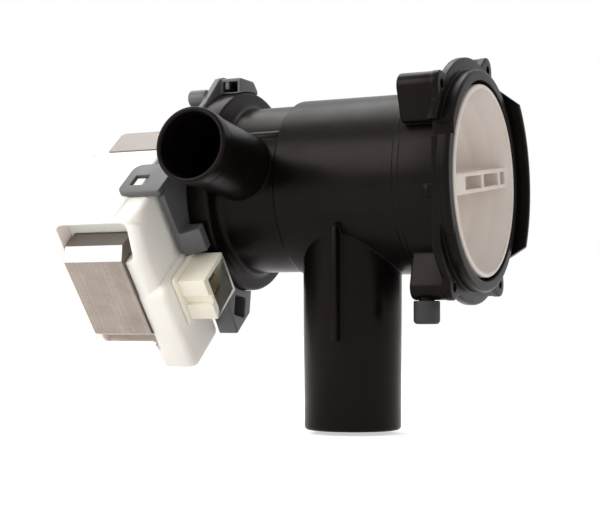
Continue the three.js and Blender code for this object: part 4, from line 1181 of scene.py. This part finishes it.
# CAD solids that stay get a finish of their own.
kept = [
    (whitePlastic, ["filter_basket"]),
    (greyPlastic, ["bearing_plate"]),
    (blackRubber, ["filter_seal", "chamber_seal", "shaft_seal"]),
    (carbon, ["front_bearing", "rear_bearing"]),
    (resin, ["front_thrust_washer", "rear_thrust_washer", "drive_dog", "impeller",
             "bobbin_upper", "bobbin_lower"]),
    (ferrite, ["rotor_magnet"]),
    (shaftSteel, ["rotor_shaft"]),
    (copperWire, ["winding_upper", "winding_lower"]),
]
for material, names in kept:
    for name in names:
        slots = nodes[name].data.materials
        slots.clear()
        slots.append(material)
print("stage: kept nodes finished")


# Studio

studio = {
    "floorDrop": 0.0012, "floorReach": 6,
    "floorColour": (0.9, 0.9, 0.9, 1),
    "floorGlow": 0.58,  # lifts the floor to the white of the backdrop
    "worldColour": (1, 0.985, 0.97, 1),
    "worldLight": 0.6,
}
lamps = [  # name, place, target, width, height, watts
    ("key", (-0.5, -0.65, 0.45), (-0.05, 0, 0), 0.4, 0.6, 5),
    ("top", (-0.35, 0.3, 0.75), (-0.06, 0, 0), 0.6, 0.45, 3.2),
    ("front", (0.9, -0.35, 0.3), (-0.02, 0, 0), 0.5, 0.6, 0.7),
]
view = {
    "place": (0.1408, -0.4278, -0.0457),
    "turn": (92.58, 0, 25.12),  # degrees
    "lens": 86.4, "sensor": 36, "clipStart": 0.01,
}


# One for the rays that show the background: seen straight, mirrored or through glass.
def seenRays(tree):
    path = put(tree, "ShaderNodeLightPath")
    mirrored = calculated(
        tree, "MAXIMUM", path.outputs["Is Glossy Ray"], path.outputs["Is Transmission Ray"])
    return calculated(tree, "MAXIMUM", path.outputs["Is Camera Ray"], mirrored)


def makeWorld():
    world = bpy.data.worlds.new("studio")
    scene.world = world
    tree = emptyTree(world)
    white = put(tree, "ShaderNodeBackground", {"Color": (1, 1, 1, 1), "Strength": 1})
    room = put(tree, "ShaderNodeBackground", {
        "Color": studio["worldColour"], "Strength": studio["worldLight"]})
    mix = put(tree, "ShaderNodeMixShader", {
        0: seenRays(tree), 1: room.outputs[0], 2: white.outputs[0]})
    put(tree, "ShaderNodeOutputWorld", {"Surface": mix.outputs[0]})


def makeFloor():
    low, reach = cadBox[0].z - studio["floorDrop"], studio["floorReach"]
    corners = [(x * reach, y * reach, low) for x, y in ((-1, -1), (1, -1), (1, 1), (-1, 1))]
    mesh = bpy.data.meshes.new("floor")
    mesh.from_pydata(corners, [], [(0, 1, 2, 3)])
    floor = bpy.data.objects.new("floor", mesh)
    scene.collection.objects.link(floor)
    material = bpy.data.materials.new("floor")
    tree = emptyTree(material)
    paper = put(tree, "ShaderNodeBsdfDiffuse", {"Color": studio["floorColour"]})
    glow = put(tree, "ShaderNodeEmission", {"Color": (1, 1, 1, 1), "Strength": studio["floorGlow"]})
    both = put(tree, "ShaderNodeAddShader", {0: paper.outputs[0], 1: glow.outputs[0]})
    mix = put(tree, "ShaderNodeMixShader", {
        0: seenRays(tree), 1: paper.outputs[0], 2: both.outputs[0]})
    put(tree, "ShaderNodeOutputMaterial", {"Surface": mix.outputs[0]})
    mesh.materials.append(material)


def areaLight(name, place, target, width, height, power):
    data = bpy.data.lights.new(name, "AREA")
    data.shape = "RECTANGLE"
    data.size = width
    data.size_y = height
    data.energy = power
    lamp = bpy.data.objects.new(name, data)
    lamp.location = place
    aim = Vector(target) - Vector(place)
    lamp.rotation_euler = aim.to_track_quat("-Z", "Y").to_euler()
    scene.collection.objects.link(lamp)


def makeCamera():
    data = bpy.data.cameras.new("camera")
    data.lens = view["lens"]
    data.sensor_width = view["sensor"]
    data.clip_start = view["clipStart"]
    camera = bpy.data.objects.new("camera", data)
    camera.location = view["place"]
    camera.rotation_euler = [math.radians(angle) for angle in view["turn"]]
    scene.collection.objects.link(camera)
    scene.camera = camera


makeWorld()
makeFloor()
for lamp in lamps:
    areaLight(*lamp)
makeCamera()
scene.view_settings.view_transform = "Standard"
print("stage: studio made")
